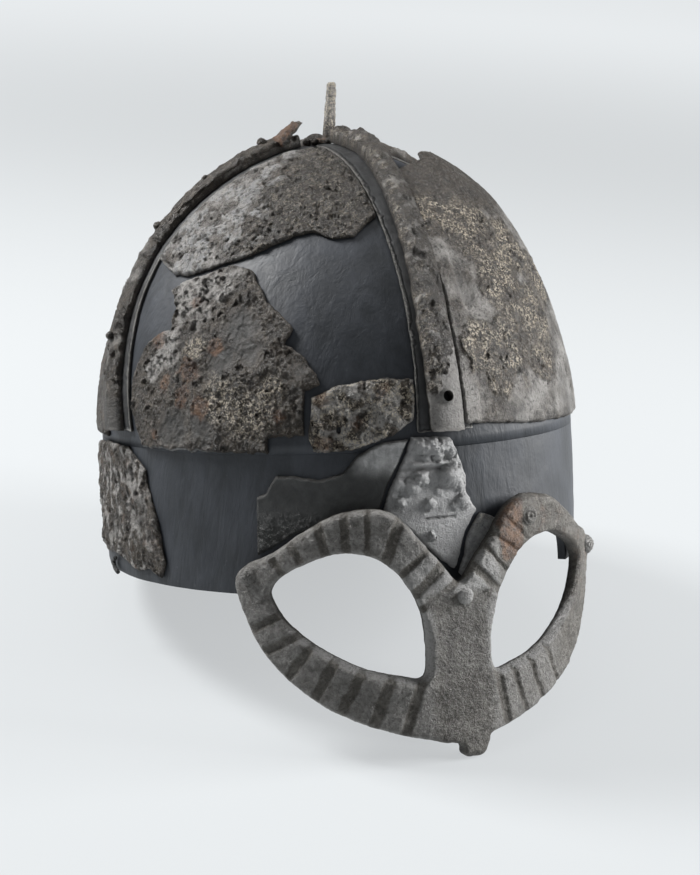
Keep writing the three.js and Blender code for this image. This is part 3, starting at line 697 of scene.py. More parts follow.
side, lift, roll = radians([CAMERA_TURN, CAMERA_RISE, CAMERA_ROLL])
back = np.array([-np.sin(side) * np.cos(lift), -np.cos(side) * np.cos(lift), np.sin(lift)])
right = np.array([np.cos(side), -np.sin(side), 0])
level_up = np.cross(back, right)
camera_right = np.cos(roll) * right + np.sin(roll) * level_up
camera_up = -np.sin(roll) * right + np.cos(roll) * level_up
eye = CAMERA_DISTANCE * back + CAMERA_AIM[0] * camera_right + CAMERA_AIM[1] * camera_up
camera_data = bpy.data.cameras.new("camera")
camera_data.sensor_width = SENSOR
camera_data.lens = CAMERA_FOCAL_PX / PHOTO_HEIGHT_PX * SENSOR
camera_data.clip_start = 0.01
camera_data.clip_end = 100
camera = linked("camera", camera_data)
axes = turn @ np.stack([camera_right, camera_up, back], -1)
camera.matrix_world = Matrix.LocRotScale(Vector(to_world(eye)), Matrix(axes.tolist()), None)
bpy.context.scene.camera = camera


# Geometry Nodes: trees that are built here and turned into plain meshes
class Nodes(Tree):
    """A geometry tree with named inputs."""

    def __init__(self, name, inputs):
        self.tree = bpy.data.node_groups.new(name, "GeometryNodeTree")
        self.tree.interface.new_socket("Geometry", in_out="OUTPUT", socket_type="NodeSocketGeometry")
        self.names = {}
        for label, (kind, value) in inputs.items():
            socket = self.tree.interface.new_socket(label, in_out="INPUT", socket_type=kind)
            if value is not None:
                socket.default_value = value
            self.names[label] = socket.identifier
        self.inputs = self.tree.nodes.new("NodeGroupInput").outputs
        self.out = self.tree.nodes.new("NodeGroupOutput").inputs[0]

    def scaled(self, vector, amount):
        sockets = {0: vector, "Scale": amount}
        return self.add("ShaderNodeVectorMath", sockets, operation="SCALE").outputs["Vector"]

    def from_axis(self, axis):
        """The distance from the Z axis."""
        squares = [self.math("POWER", axis[key], 2.0) for key in ("X", "Y")]
        return self.math("SQRT", self.plus(*squares))

    def uneven(self, geometry, pattern, height):
        """Moves the points along their normals by the pattern about its middle."""
        push = self.times(self.math("SUBTRACT", pattern, 0.5), height)
        normal = self.add("GeometryNodeInputNormal").outputs[0]
        sockets = {"Geometry": geometry, "Offset": self.scaled(normal, push)}
        return self.add("GeometryNodeSetPosition", sockets).outputs[0]

    def end(self, geometry):
        realized = self.add("GeometryNodeRealizeInstances", {"Geometry": geometry}).outputs[0]
        sockets = {"Geometry": realized, "Material": self.inputs["Material"]}
        painted = self.add("GeometryNodeSetMaterial", sockets)
        self.tree.links.new(painted.outputs[0], self.out)
        return self

    def plain_mesh(self, name, values):
        """Runs the tree and returns the result as a plain mesh."""
        carrier = linked(name, bpy.data.meshes.new(name))
        modifier = carrier.modifiers.new("nodes", "NODES")
        modifier.node_group = self.tree
        for label, value in values.items():
            modifier[self.names[label]] = value
        evaluated = carrier.evaluated_get(bpy.context.evaluated_depsgraph_get())
        mesh = bpy.data.meshes.new_from_object(evaluated)
        bpy.data.objects.remove(carrier)
        return mesh


def dome_tree():
    """A unit sphere's upper half carried onto the crown's rule, with slow unevenness."""
    size, count = "NodeSocketFloat", "NodeSocketInt"
    nodes = Nodes("crown dome", {
        "Half Width": (size, 1.0), "Half Length": (size, 1.0), "Height": (size, 1.0),
        "Fullness": (size, 2.0), "Unevenness": (size, 0.0), "Unevenness Size": (size, 1.0),
        "Segments": (count, 64), "Rings": (count, 32), "Material": ("NodeSocketMaterial", None),
    })
    given = nodes.inputs
    ball = nodes.add("GeometryNodeMeshUVSphere", {"Segments": given["Segments"], "Rings": given["Rings"]})
    spot = nodes.add("GeometryNodeInputPosition").outputs[0]
    axis = nodes.add("ShaderNodeSeparateXYZ", {0: spot}).outputs
    below = nodes.math("LESS_THAN", axis["Z"], -1e-4)
    upper = nodes.add("GeometryNodeDeleteGeometry", {"Geometry": ball.outputs["Mesh"], "Selection": below})
    high = nodes.math("MAXIMUM", axis["Z"], 0.0)
    powers = [nodes.math("POWER", way, given["Fullness"]) for way in (nodes.from_axis(axis), high)]
    reach = nodes.math("POWER", nodes.plus(*powers), nodes.math("DIVIDE", 1.0, given["Fullness"]))
    rounded = nodes.scaled(spot, nodes.math("DIVIDE", 1.0, reach))
    halves = {"X": given["Half Width"], "Y": given["Half Length"], "Z": given["Height"]}
    halves = nodes.add("ShaderNodeCombineXYZ", halves).outputs[0]
    placed = nodes.add("ShaderNodeVectorMath", {0: rounded, 1: halves}, operation="MULTIPLY").outputs[0]
    shaped = nodes.add("GeometryNodeSetPosition", {"Geometry": upper.outputs[0], "Position": placed})
    texture = nodes.add("ShaderNodeTexNoise", {
        "Vector": spot, "Scale": nodes.math("DIVIDE", 1.0, given["Unevenness Size"]), "Detail": 3.0,
    })
    # The lower edge stays even, to sit on the band
    height = nodes.times(given["Unevenness"], nodes.math("MINIMUM", 1.0, nodes.times(high, 20.0)))
    return nodes.end(nodes.uneven(shaped.outputs[0], texture.outputs["Fac"], height))


def as_piece(name, mesh):
    """A plain mesh made in millimetres becomes an object with its place in its mesh."""
    corners = np.zeros(len(mesh.vertices) * 3)
    mesh.vertices.foreach_get("co", corners)
    mesh.vertices.foreach_set("co", to_world(corners.reshape(-1, 3)).ravel())
    mesh.update()
    return linked(name, mesh)


def crown_shell():
    mesh = dome_tree().plain_mesh("dome", {
        "Half Width": CROWN_HALF_WIDTH, "Half Length": CROWN_HALF_LENGTH, "Height": CROWN_HEIGHT,
        "Fullness": CROWN_FULLNESS, "Unevenness": 0.7, "Unevenness Size": 0.25,
        "Segments": 192, "Rings": 96, "Material": slate,
    })
    mesh.shade_smooth()
    shell = as_piece("crown_shell", mesh)
    # The wall grows inwards from the dome
    wall = shell.modifiers.new("wall", "SOLIDIFY")
    wall.thickness = CROWN_WALL / 1000
    wall.offset = -1
    wall.use_even_offset = True
    solid = bpy.data.meshes.new_from_object(shell.evaluated_get(bpy.context.evaluated_depsgraph_get()))
    shell.modifiers.clear()
    shell.data = solid
    return finished(shell, "shell", "crown_base")


def brow_shell():
    """The painted brow band, with an arch over each eye, closed round the back."""
    half = 180 * BROW_STEP
    top = -BAND_SEAM
    ends = np.array([ARCH_INNER, ARCH_OUTER]) / CROWN_HALF_WIDTH
    inner, outer = np.degrees(np.arcsin(ends)) * BROW_STEP
    turns = np.linspace(0, np.pi / 2, 8)
    bend = [(ARCH_CORNER * (1 - np.cos(a)), ARCH_CORNER * (1 - np.sin(a))) for a in turns]
    fall = ARCH_SLOPE_DROP + ARCH_CORNER
    slope = [(ARCH_SLOPE * (1 - np.cos(a)), fall * (1 - np.sin(a))) for a in turns[::-1]]
    arch = [(inner, -BROW_HEIGHT)] + [(inner + x, -ARCH_DROP - y) for x, y in bend]
    arch += [(outer - x, -ARCH_DROP - y) for x, y in slope] + [(outer, -BROW_HEIGHT)]
    mirrored_arch = [(-x, y) for x, y in arch[::-1]]
    corners = [(half, top), (-half, top), (-half, -BROW_HEIGHT), *mirrored_arch, *arch, (half, -BROW_HEIGHT)]
    loop = trace(corners, 2.0)

    def finish(flat, rims, points):
        wave = 0.5 * fractal(points, 22, 3, 3)
        wave *= smooth(0, 6, half - np.abs(flat[:, 0])) * smooth(0, 7, -flat[:, 1])
        lower = smooth(4, 8, -flat[:, 1])
        return wave - 0.35 * lower * (1 - smooth(0, 0.8, rims[0])), {}

    band = sheet("brow_shell", [loop], on_brow, finish, lambda flat: -BROW_WALL, slate, 2.0)
    return finished(band, "shell", "brow_base")


# The left plate lies over the long strip. Low down it keeps a gap from the rib, and higher up it
# tucks under the rib. The change comes between two rises
LEFT_RIB_GAP = 0.8
LEFT_TUCK = 0.9
LEFT_TUCK_RISE = (0.48, 0.58)


def arm_width(rim_half, top_half, climb):
    towards = np.minimum(climb, 180 - climb) / 90
    return rim_half + (top_half - rim_half) * towards


def strip_width(rise, extra=SEAT_GAP):
    towards = np.clip(climb_at(rise) / 90, 0, 1)
    return STRIP_RIM_HALF_WIDTH + (STRIP_TOP_HALF_WIDTH - STRIP_RIM_HALF_WIDTH) * towards + extra


def clear_of_strips(azimuth, climb, side_x, side_y, covers):
    """Moves outline points off the strips, towards the quadrant given by the two signs."""
    points = crown_points(azimuth, climb, 0)
    for _ in range(4):
        rise = rise_of(points)
        width = strip_width(rise)
        stray = right_stray(rise) if side_x < 0 else 0
        if covers:
            tucked = smooth(*LEFT_TUCK_RISE, rise)
            rib = arm_width(RIB_RIM_HALF_WIDTH, RIB_TOP_HALF_WIDTH, climb_at(rise))
            beside = front_rib_stray(rise) + rib + LEFT_RIB_GAP - (LEFT_RIB_GAP + LEFT_TUCK) * tucked
        else:
            beside = width + side_x * front_strip_stray(rise)
        points[:, 0] = side_x * np.maximum(side_x * points[:, 0], beside)
        points[:, 1] = side_y * np.maximum(side_y * points[:, 1], width - side_y * stray)
        points = onto_crown(points, 0.0)
    climb = climb_at(rise_of(points))
    azimuth = np.degrees(np.arctan2(points[:, 0] / CROWN_HALF_WIDTH, -points[:, 1] / CROWN_HALF_LENGTH))
    return crown_flat(azimuth, climb)


def crown_outline(rows, side_x, side_y, ragged, seed, step=0.7, covers=False):
    """A plate's ragged outline in its quadrant of the crown, clear of the strips."""
    rows = np.array(rows, float)
    fine = trace(np.stack([rows[:, 0], climb_at(rows[:, 1])], -1), 0.5)
    clear = clear_of_strips(fine[:, 0], fine[:, 1], side_x, side_y, covers)
    loop = evened(without_folds(clear), step)
    return evened(fray(loop, ragged, 5.0, seed), step)


def brow_outline(rows, ragged, seed, step=0.6):
    rows = np.array(rows, float)
    loop = evened(np.stack([rows[:, 0] * BROW_STEP, -rows[:, 1] * BROW_HEIGHT], -1), step)
    return evened(fray(loop, ragged, 4.0, seed), step)


def seated(flat):
    return SEAT_GAP


def near_any(points, spots, surface, reach):
    """1 at the spots and fading to 0 at their own radius, with an uneven border."""
    wobble = 1 + 0.35 * fractal(points, reach, 3, 9)
    value = np.zeros(len(points))
    for first, second, radius in spots:
        away = np.linalg.norm(points - surface(first, second), axis=1) / radius
        value = np.maximum(value, 1 - smooth(0.35, 1.0, away * wobble))
    return value


def crown_spot(azimuth, rise):
    return crown_points(azimuth, climb_at(rise), 2.0)


# Painted shadow: a darker band along a plate's rim.
def rim_shadow(hollow, rim, amount=0.6):
    return np.maximum(hollow, amount * (1 - smooth(0.1, 0.5, rim)))


def plate_edge(rim, thickness=PLATE_THICKNESS, reach=1.2, left=0.35):
    """The plate's thickness, worn down towards its rim."""
    return thickness * (left + (1 - left) * np.sqrt(smooth(0, reach, rim)))


def plated(points, rim, height, **masks):
    """A plate's outer side, with a relief that fades at the rim, and its masks."""
    return SEAT_GAP + plate_edge(rim) + height * smooth(0, 1.2, rim), masks_of(points, **masks)


# Places on the crown's plates: azimuth, rise and radius in millimetres
RUST_ON_TOP = [(-45, 0.9, 12), (-30, 0.84, 7), (-60, 0.88, 8)]
RUST_ON_LARGE = [
    (-70, 0.36, 8), (-59, 0.27, 9), (-52, 0.34, 7), (-60, 0.18, 8), (-66, 0.22, 6), (-55, 0.15, 9),
    (-68, 0.05, 5), (-36, 0.12, 5), (-60, 0.48, 6),
]
CALM_ON_LARGE = [(-62, 0.07, 13), (-55, 0.09, 10), (-46, 0.4, 12), (-50, 0.3, 10), (-44, 0.33, 9)]
HOLES_ON_LARGE = [(-62, 0.5, 20), (-66, 0.34, 13), (-54, 0.54, 13), (-70, 0.27, 9)]
CREAM_ON_LARGE = [(-50, 0.17, 13), (-43, 0.12, 13), (-38, 0.2, 9), (-58, 0.33, 8)]
RUST_ON_SMALL = [(-27, 0.03, 7), (-27, 0.17, 7), (-14, 0.19, 6), (-20, 0.1, 5)]
CRUST_ON_LEFT = [
    (10, 0.72, 17), (24, 0.66, 20), (38, 0.6, 18), (26, 0.5, 18), (12, 0.32, 14), (22, 0.3, 16),
    (36, 0.38, 18), (34, 0.24, 13), (50, 0.5, 16), (16, 0.2, 10),
]
CALM_ON_LEFT = [
    (62, 0.24, 24), (66, 0.5, 18), (44, 0.1, 13), (12, 0.49, 9), (74, 0.1, 20), (20, 0.08, 9),
]


def top_plate_finish(flat, rims, points):
    """Worn pale on the wearer's right, with a painted highlight on its plateau there; dark and lumpy towards
    the face, the dark being painted shade with cream specks as painted glints; with a lip at one corner.
    """
    rim = rims[0]
    azimuth = azimuth_of(points)
    rise = rise_of(points)
    to_left = smooth(-34, -58, azimuth + 12 * fractal(points, 9, 4, 2))
    lumpy, pitted, deep = 1.6 - 0.6 * to_left, 0.35 + 0.25 * to_left, 0.7 + 0.4 * to_left
    skin, grain, hollow = rust_skin(points, 4, lumpy, pitted, deep)
    plateau = smooth(-0.1, 0.05, fractal(points, 8, 4, 7)) * to_left
    height = (1 - 0.4 * plateau) * skin + 0.35 * plateau + flakes(points, 15, 0.2, 3)
    lip = smooth(-70, -76, azimuth) * (1 - smooth(0.66, 0.7, rise))
    groove = lip * smooth(0.9, 1.2, rim) * (1 - smooth(2.0, 2.4, rim))
    height -= 1.4 * groove
    rust = near_any(points, RUST_ON_TOP, crown_spot, 9) * 0.4
    pale = np.clip(to_left * (0.55 + 0.4 * plateau) + 0.35 * fractal(points, 6, 4, 1), 0, 1)
    pale = np.maximum(pale, 0.8 * lip * (1 - smooth(0.6, 1.0, rim)))
    hollow = rim_shadow(np.maximum(0.9 * hollow, groove), rim, 0.6 * (1 - lip))
    # Towards the face the dark mask is painted shade and the cream specks are painted glints; on the plateau
    # the light mask is a painted highlight.
    crust = 0.3 * (1 - to_left) * smooth(-0.3, 0.3, fractal(points, 4, 3, 8))
    light = 0.9 * plateau * (1 - hollow) * smooth(-0.35, 0.15, fractal(points, 2.5, 3, 10))
    dark = 0.75 * (1 - to_left)
    return plated(points, rim, height, rust=rust, pale=pale, hollow=hollow, grain=grain, dark=dark,
                  crust=crust, light=light)


def large_plate_finish(flat, rims, points):
    """Deep holes at the top, calm and rusty patches lower down, a bright edge at the foot."""
    rim = rims[0]
    holed = near_any(points, HOLES_ON_LARGE, crown_spot, 10)
    calm = 0.85 * near_any(points, CALM_ON_LARGE, crown_spot, 8)
    skin, grain, hollow = rust_skin(points, 14, 1.15, 0.2 + 0.7 * holed, 0.7 + 0.5 * holed)
    ridges = holed * 0.7 * np.abs(fractal(points, 5, 3, 17))
    height = (1 - 0.85 * calm) * (skin + ridges) + flakes(points, 12, 0.25, 13) - 0.35 * calm
    rust = near_any(points, RUST_ON_LARGE, crown_spot, 5) * 0.75
    pale = np.clip(0.1 + 0.75 * holed + 0.5 * fractal(points, 5, 4, 11) - 0.3 * calm, 0, 1)
    crust = near_any(points, CREAM_ON_LARGE, crown_spot, 8) * 0.75
    azimuth = azimuth_of(flat)
    foot = smooth(-78, -75, azimuth) * (1 - smooth(-56, -50, azimuth))
    foot *= 1 - smooth(0.014, 0.022, rise_of(points))
    light = foot * (1 - smooth(0.5, 0.9, rim))
    hollow = rim_shadow(hollow * (1 - calm), rim)
    return plated(points, rim, height, rust=rust, pale=pale, hollow=hollow, crust=crust, grain=grain,
                  calm=calm, light=light)


def small_plate_finish(flat, rims, points):
    """Lumpy and crusted all over."""
    rim = np.min(rims, 0)
    skin, grain, hollow = rust_skin(points, 24, 1.3, 0.45, 0.7)
    height = skin + flakes(points, 9, 0.25, 23)
    rust = near_any(points, RUST_ON_SMALL, crown_spot, 5) * 0.6
    crust = 0.9 * smooth(-0.35, 0.25, fractal(points, 6, 3, 21))
    pale = 0.95 * smooth(-0.5, 0.3, fractal(points, 5, 3, 22))
    hollow = rim_shadow(0.45 * hollow, rim)
    return plated(points, rim, height, rust=rust, hollow=hollow, crust=crust, grain=grain, pale=pale)


def left_plate_lift(points):
    """The plate lies over the strip's edge, and stands proud towards its upper outer corner."""
    rise = rise_of(points)
    climb = climb_at(rise)
    over = 1 - smooth(0.5, 4, points[:, 0] - strip_width(rise) - front_strip_stray(rise))
    raised = smooth(climb_at(0.3), climb_at(0.8), climb) * (0.3 + 0.7 * smooth(8, 45, azimuth_of(points)))
    raised *= LEFT_PLATE_LIFT + LEFT_PLATE_TOP_LIFT * smooth(climb_at(0.6), climb_at(0.88), climb)
    return np.maximum(raised, STRIP_TOP * over)


def left_plate_finish(flat, rims, points):
    """Speckled crust on pale iron, and plain brown at the top."""
    rim = rims[0]
    calm = near_any(points, CALM_ON_LEFT, crown_spot, 10)
    crust = np.clip(near_any(points, CRUST_ON_LEFT, crown_spot, 7) - 0.8 * calm, 0, 1)
    skin, grain, hollow = rust_skin(points, 34, 0.9, 0.2, 0.6)
    height = (0.25 + 0.75 * crust) * skin * (1 - 0.6 * calm)
    height += 0.55 * smooth(0.25, 0.5, crust) + flakes(points, 18, 0.15, 33)
    # The top and the crusted patches are darkened through the dark mask: painted shade over their own brown.
    brown = smooth(0.7, 0.84, rise_of(points))
    brown = np.maximum(brown, 0.75 * crust)
    speck = crust * smooth(-0.5, 0.3, fractal(points, 7, 3, 38))
    pale = np.clip(0.6 + 0.4 * fractal(points, 12, 4, 37) - brown, 0, 1)
    hollow = rim_shadow(hollow * (1 - calm), rim)
    grain *= 1 - 0.7 * calm
    return (left_plate_lift(points) + SEAT_GAP + plate_edge(rim) + height * smooth(0, 1.2, rim),
            masks_of(points, pale=pale, hollow=hollow, crust=speck, calm=0.5 * calm, grain=grain,
                     rust=0.35 * crust, dark=0.6 * brown))


def left_plate_under(flat):
    return SEAT_GAP + left_plate_lift(on_crown(flat, 0.0))


def plain_plate_finish(seed):
    """A hidden plate's finish: even rust with a few pale patches."""
    def finish(flat, rims, points):
        skin, grain, hollow = rust_skin(points, seed, 0.7, 0.3, 0.6)
        rust = 0.5 * smooth(0.2, 0.6, fractal(points, 22, 3, seed + 3))
        pale = smooth(0.1, 0.6, fractal(points, 26, 3, seed + 4))
        return (SEAT_GAP + plate_edge(rims[0]) + skin * smooth(0, 1.5, rims[0]),
                masks_of(points, rust=rust, pale=0.7 * pale, hollow=hollow, grain=grain))
    return finish


def circle(centre, radius, count=18):
    angles = np.linspace(0, 2 * np.pi, count, endpoint=False)
    return np.stack([centre[0] + radius * np.cos(angles), centre[1] + radius * np.sin(angles)], -1)


def crown_plates():
    # The wearer's right: outline, raggedness, nail hole's azimuth, rise and radius
    rows = [
        ("top", TOP_PLATE, 0.35, None, top_plate_finish, "pale_iron"),
        ("large", LARGE_PLATE, 0.75, (-67.5, 0.06, 1.1), large_plate_finish, "dark_iron"),
        ("small", SMALL_PLATE, 0.6, (-23.5, 0.075, 1.3), small_plate_finish, "dark_iron"),
    ]
    for seed, (which, outline, ragged, nail, finish, slot) in enumerate(rows, 1):
        loops = [crown_outline(outline, -1, -1, ragged, seed)]
        if nail:
            azimuth, rise, radius = nail
            loops.append(circle(crown_flat(azimuth, climb_at(rise)), radius))
        plate = sheet("plate_" + which, loops, on_crown, finish, seated, brown_iron, 0.5)
        finished(plate, slot, "plate_right_" + which)
    left = crown_outline(LEFT_PLATE, 1, -1, 0.5, 4, covers=True)
    plate = sheet("plate_left_front", [left], on_crown, left_plate_finish, left_plate_under, brown_iron, 0.62)
    finished(plate, "pale_iron", "plate_left")
    for name, sign in (("plate_rear_left", 1), ("plate_rear_right", -1)):
        outline = [(azimuth * sign, rise) for azimuth, rise in REAR_PLATE]
        loop = crown_outline(outline, sign, 1, 0.5, 5 + sign, 1.0)
        finish = plain_plate_finish(40 + sign)
        plate = sheet(name + "_iron", [loop], on_crown, finish, seated, brown_iron, 1.5)
        finished(plate, "dark_iron", name)


def brow_place(flat, points):
    return flat[:, 0] / BROW_STEP, -points[:, 2] / BROW_HEIGHT


def brow_spot(azimuth, drop):
    return brow_points(azimuth, -drop * BROW_HEIGHT, 2.0)


def side_brow_finish(flat, rims, points):
    """Split lengthways, with pale worn ridges between the splits."""
    drawn = points * np.array([1, 1, 0.6])
    skin, grain, hollow = rust_skin(drawn, 54, 1.1, 0.35, 0.8)
    splits = np.abs(fractal(points * np.array([1, 1, 0.16]), 5, 4, 57))
    height = skin + 0.4 * smooth(0, 0.2, splits) - 0.4 + flakes(drawn, 9, 0.4, 53)
    rust = 0.5 * smooth(0.1, 0.5, fractal(points, 9, 3, 51))
    pale = 0.9 * smooth(-0.15, 0.45, fractal(drawn, 4, 3, 52))
    # Painted shade in the splits
    hollow = np.maximum(hollow, 0.5 * (1 - smooth(0, 0.06, splits)))
    return plated(points, rims[0], height, rust=rust, hollow=hollow, pale=pale, grain=grain)


def dark_brow_finish(flat, rims, points):
    """Smooth dark iron, pitted in its low corner and light beside the forehead."""
    azimuth, drop = brow_place(flat, points)
    low = smooth(0.34, 0.56, drop) * smooth(-20, -34, azimuth)
    skin, grain, hollow = rust_skin(points, 64, 0.8, 0.3, 0.4)
    light = smooth(-22, -16.5, azimuth + 1.5 * fractal(points, 6, 3, 65)) * (1 - smooth(0.06, 0.2, drop))
    height = 0.14 * fractal(points, 9, 3, 61) + low * skin + light * 0.3 * fractal(points, 4, 3, 66)
    # Painted shadow: the rim is dark, as the shadow line round the fragment.
    edge = 1 - smooth(0.5, 1.1, rims[0] + 0.3 * fractal(points, 3, 2, 67))
    return (SEAT_GAP + plate_edge(rims[0], reach=0.9, left=0.05) + height * smooth(0, 1, rims[0]),
            masks_of(points, calm=(1 - 0.9 * low) * (1 - edge), grain=0.8 * low * grain, even=1 - low,
                     hollow=np.maximum(low * hollow, edge), light=light))


# Lumps of the forehead fragment: azimuth, drop, radius and rise in millimetres
FOREHEAD_LUMPS = [
    (0.5, 0.19, 5.4, 3.0), (-8.4, 0.25, 3.8, 2.4), (-6.2, 0.2, 3.6, 2.6), (-4.5, 0.38, 2.9, 2.0),
    (3.3, 0.385, 3.8, 2.0), (1.6, 0.41, 2.8, 1.2), (-4.2, 0.615, 2.4, 1.8), (-11.2, 0.23, 3.2, 1.9),
    (-11.2, 0.355, 2.6, 1.6), (-12, 0.29, 2.4, 1.4), (-6.2, -0.02, 3.4, 1.9), (-3.4, -0.015, 4.2, 2.5),
    (-0.6, -0.02, 3.8, 2.4), (1, 0.03, 3.0, 2.0), (-2.2, 0.045, 3.2, 1.8), (-5, 0.05, 2.6, 1.4),
    (2.6, 0.27, 2.8, 1.2), (-2.4, 0.3, 2.4, 0.8),
]
RIDGE_DROP = 0.1
SLIT_DROP = 0.485


def centre_brow_finish(flat, rims, points):
    """Pale iron with a ridge, a slit and lumps."""
    azimuth, drop = brow_place(flat, points)
    height = 0.16 * fractal(points, 3, 4, 71) + 0.5 * fractal(points, 9, 3, 72)
    shape = warped(points, 2.2, 0.35, 73)
    for at, low, radius, rise in FOREHEAD_LUMPS:
        away = np.linalg.norm(shape - brow_spot(at, low), axis=1) / radius
        height = np.maximum(height, height * 0.4 + 1.35 * rise * np.sqrt(np.clip(1 - away ** 2, 0, 1)))
    clump = 1 - smooth(0.04, 0.08, drop)
    height += clump * (0.5 * fractal(points, 1.8, 3, 74) + 0.5 * grains(points, 2.0, 0.7, 75))
    before = 1 - smooth(2.5, 3.8, azimuth)
    ridge = np.exp(-((drop - RIDGE_DROP) / 0.016) ** 2) * smooth(-9.5, -8, azimuth) * before
    under = np.exp(-((drop - RIDGE_DROP - 0.035) / 0.014) ** 2) * before
    slit = np.exp(-((drop - SLIT_DROP) * BROW_HEIGHT / 0.4) ** 2)
    slit *= smooth(-6.5, -5.5, azimuth) * (1 - smooth(1, 2, azimuth))
    height += 1.5 * ridge - 0.5 * under - 0.9 * slit
    # Painted shade in the slit, in the groove under the ridge and along the rim
    hollow = np.maximum(0.8 * slit, 0.6 * np.maximum(under, 1 - smooth(0.1, 0.5, rims[0])))
    return (SEAT_GAP + plate_edge(rims[0], reach=0.9, left=0.5) + height * smooth(0, 1.0, rims[0]),
            masks_of(points, pale=0.95, even=0.7, hollow=hollow))


def strip_brow_finish(flat, rims, points):
    """Pale, with a thin crust on the upper half, and lightened all over as painted light."""
    height = 0.12 * fractal(points, 3, 4, 81)
    upper = 1 - smooth(0.5, 0.66, -points[:, 2] / BROW_HEIGHT)
    crust = upper * (1 - smooth(1.0, 3.0, rims[0]))
    height += 0.5 * crust * fractal(points, 1.5, 3, 82)
    return (SEAT_GAP + plate_edge(rims[0], reach=0.8, left=0.5) + height,
            masks_of(points, pale=1, light=1, crust=0.4 * crust, even=0.6 - 0.3 * upper))


def brow_plates():
    pieces = [
        ("brow_side", SIDE_BROW, 0.6, side_brow_finish, brown_iron, "dark_iron", "brow_fragment_side"),
        ("brow_dark", DARK_BROW, 0.3, dark_brow_finish, smooth_iron, "smooth_iron", "brow_fragment_dark"),
        ("brow_centre", CENTRE_BROW, 0.4, centre_brow_finish, grey_iron, "pale_iron", "brow_fragment_centre"),
        ("brow_strip", STRIP_BROW, 0.25, strip_brow_finish, grey_iron, "pale_iron", "brow_fragment_strip"),
    ]
    for seed, (name, rows, ragged, finish, material, slot, node) in enumerate(pieces, 11):
        loop = brow_outline(rows, ragged, seed)
        finished(sheet(name, [loop], on_brow, finish, seated, material, 0.6), slot, node)


# Strips and ribs
def arm_loop(start, end, rim_half, top_half, ragged, seed, step=0.7):
    """The outline of an arm that climbs from start to end, in degrees of climb."""
    climbs = np.linspace(start, end, int((end - start) * CLIMB_STEP / step))
    half = arm_width(rim_half, top_half, climbs)
    one = np.stack([half, climbs * CLIMB_STEP], -1)
    other = np.stack([-half, climbs * CLIMB_STEP], -1)[::-1]
    return evened(fray(evened(np.vstack([one, other]), step), ragged, 5, seed), step)


def strip_finish(seed):
    """Dark iron, darkened nearly black as painted shade, with bright worn edges."""
    def finish(flat, rims, points):
        height = 0.18 * fractal(points, 4, 3, seed)
        worn = 1 - smooth(0.25, 0.6, rims[0] + 0.25 * fractal(points, 5, 3, seed + 1))
        return (SEAT_GAP + plate_edge(rims[0], STRIP_THICKNESS, 0.6, 0.7) + height * smooth(0, 0.8, rims[0]),
                masks_of(points, pale=0.95 * worn, calm=0.35 * (1 - worn), even=1 - worn))
    return finish


def near_axis(distance, half):
    """The climb at which the crown is this far from the axis."""
    return float(np.degrees(np.arccos((distance / half) ** (1 / CLIMB_POWER))))


def strips():
    foot = float(climb_at(FOOT_RISE))
    side_top = near_axis(STRIP_TOP_HALF_WIDTH + SEAT_GAP, CROWN_HALF_WIDTH)
    rows = [
        ("strip_long", 0, 180 - foot, front_strip_stray, "strip_fore_aft"),
        ("strip_right_side", -90, side_top, right_stray, "strip_right"),
        ("strip_left_side", 90, side_top, no_stray, "strip_left"),
    ]
    for seed, (name, azimuth, end, stray, node) in enumerate(rows, 91):
        loop = arm_loop(foot, end, STRIP_RIM_HALF_WIDTH, STRIP_TOP_HALF_WIDTH, 0.25, seed, 1.0)
        strip = sheet(name, [loop], on_arm(azimuth, stray), strip_finish(seed), seated, strip_iron, 1.4)
        finished(strip, "dark_iron", node)


def rib_profile(flat):
    half = arm_width(RIB_RIM_HALF_WIDTH, RIB_TOP_HALF_WIDTH, flat[:, 1] / CLIMB_STEP)
    share = np.clip(np.abs(flat[:, 0]) / half, 0, 1)
    return RIB_THICKNESS * (RIB_EDGE_SHARE + (1 - RIB_EDGE_SHARE) * np.sqrt(1 - share ** 2))


def front_rib_finish(flat, rims, points):
    """Crusted above a smooth tab, and curled up into thin layers near the apex."""
    rise = rise_of(points)
    border = 0.17 + 0.016 * np.clip(flat[:, 0] + 4, 0, 9) + 0.05 * fractal(points, 5, 4, 101)
    crusted = smooth(border - 0.008, border + 0.01, rise)
    drawn = points * np.array([1, 0.6, 0.6])
    skin, grain, hollow = rust_skin(drawn, 104, 1.0, 0.35, 0.6)
    # Painted light and shade on the crusted part: the flank towards the wearer's right keeps its tone and
    # takes cream specks as painted highlights, and the rest is painted darker as shade.
    lit_flank = crusted * smooth(0.5, -2.5, flat[:, 0]) * smooth(-0.3, 0.3, fractal(points, 5, 3, 106))
    curls = smooth(0.86, 0.95, rise) * 0.9 * np.sin(6.5 * rise * 20 + 3 * fractal(points, 8, 2, 109))
    height = crusted * (0.1 + skin + curls) - 0.9 * (1 - crusted) + 0.06 * fractal(points, 4, 3, 107)
    lift = FRONT_RIB_LIFT * smooth(0.86, 0.97, rise)
    pale = np.maximum(0.8 * (1 - crusted), 0.75 * smooth(-0.1, 0.5, fractal(points, 3.5, 3, 102)))
    rust = 0.3 * crusted * smooth(0.1, 0.5, fractal(points, 14, 3, 108))
    return (RIB_SEAT + lift + rib_profile(flat) + height * smooth(0, 1.2, np.min(rims, 0)),
            masks_of(points, pale=pale, calm=0.5 * (1 - crusted), dark=0.85 * crusted * (1 - lit_flank),
                     rust=rust, crust=0.35 * lit_flank, hollow=hollow * crusted, grain=grain * crusted))


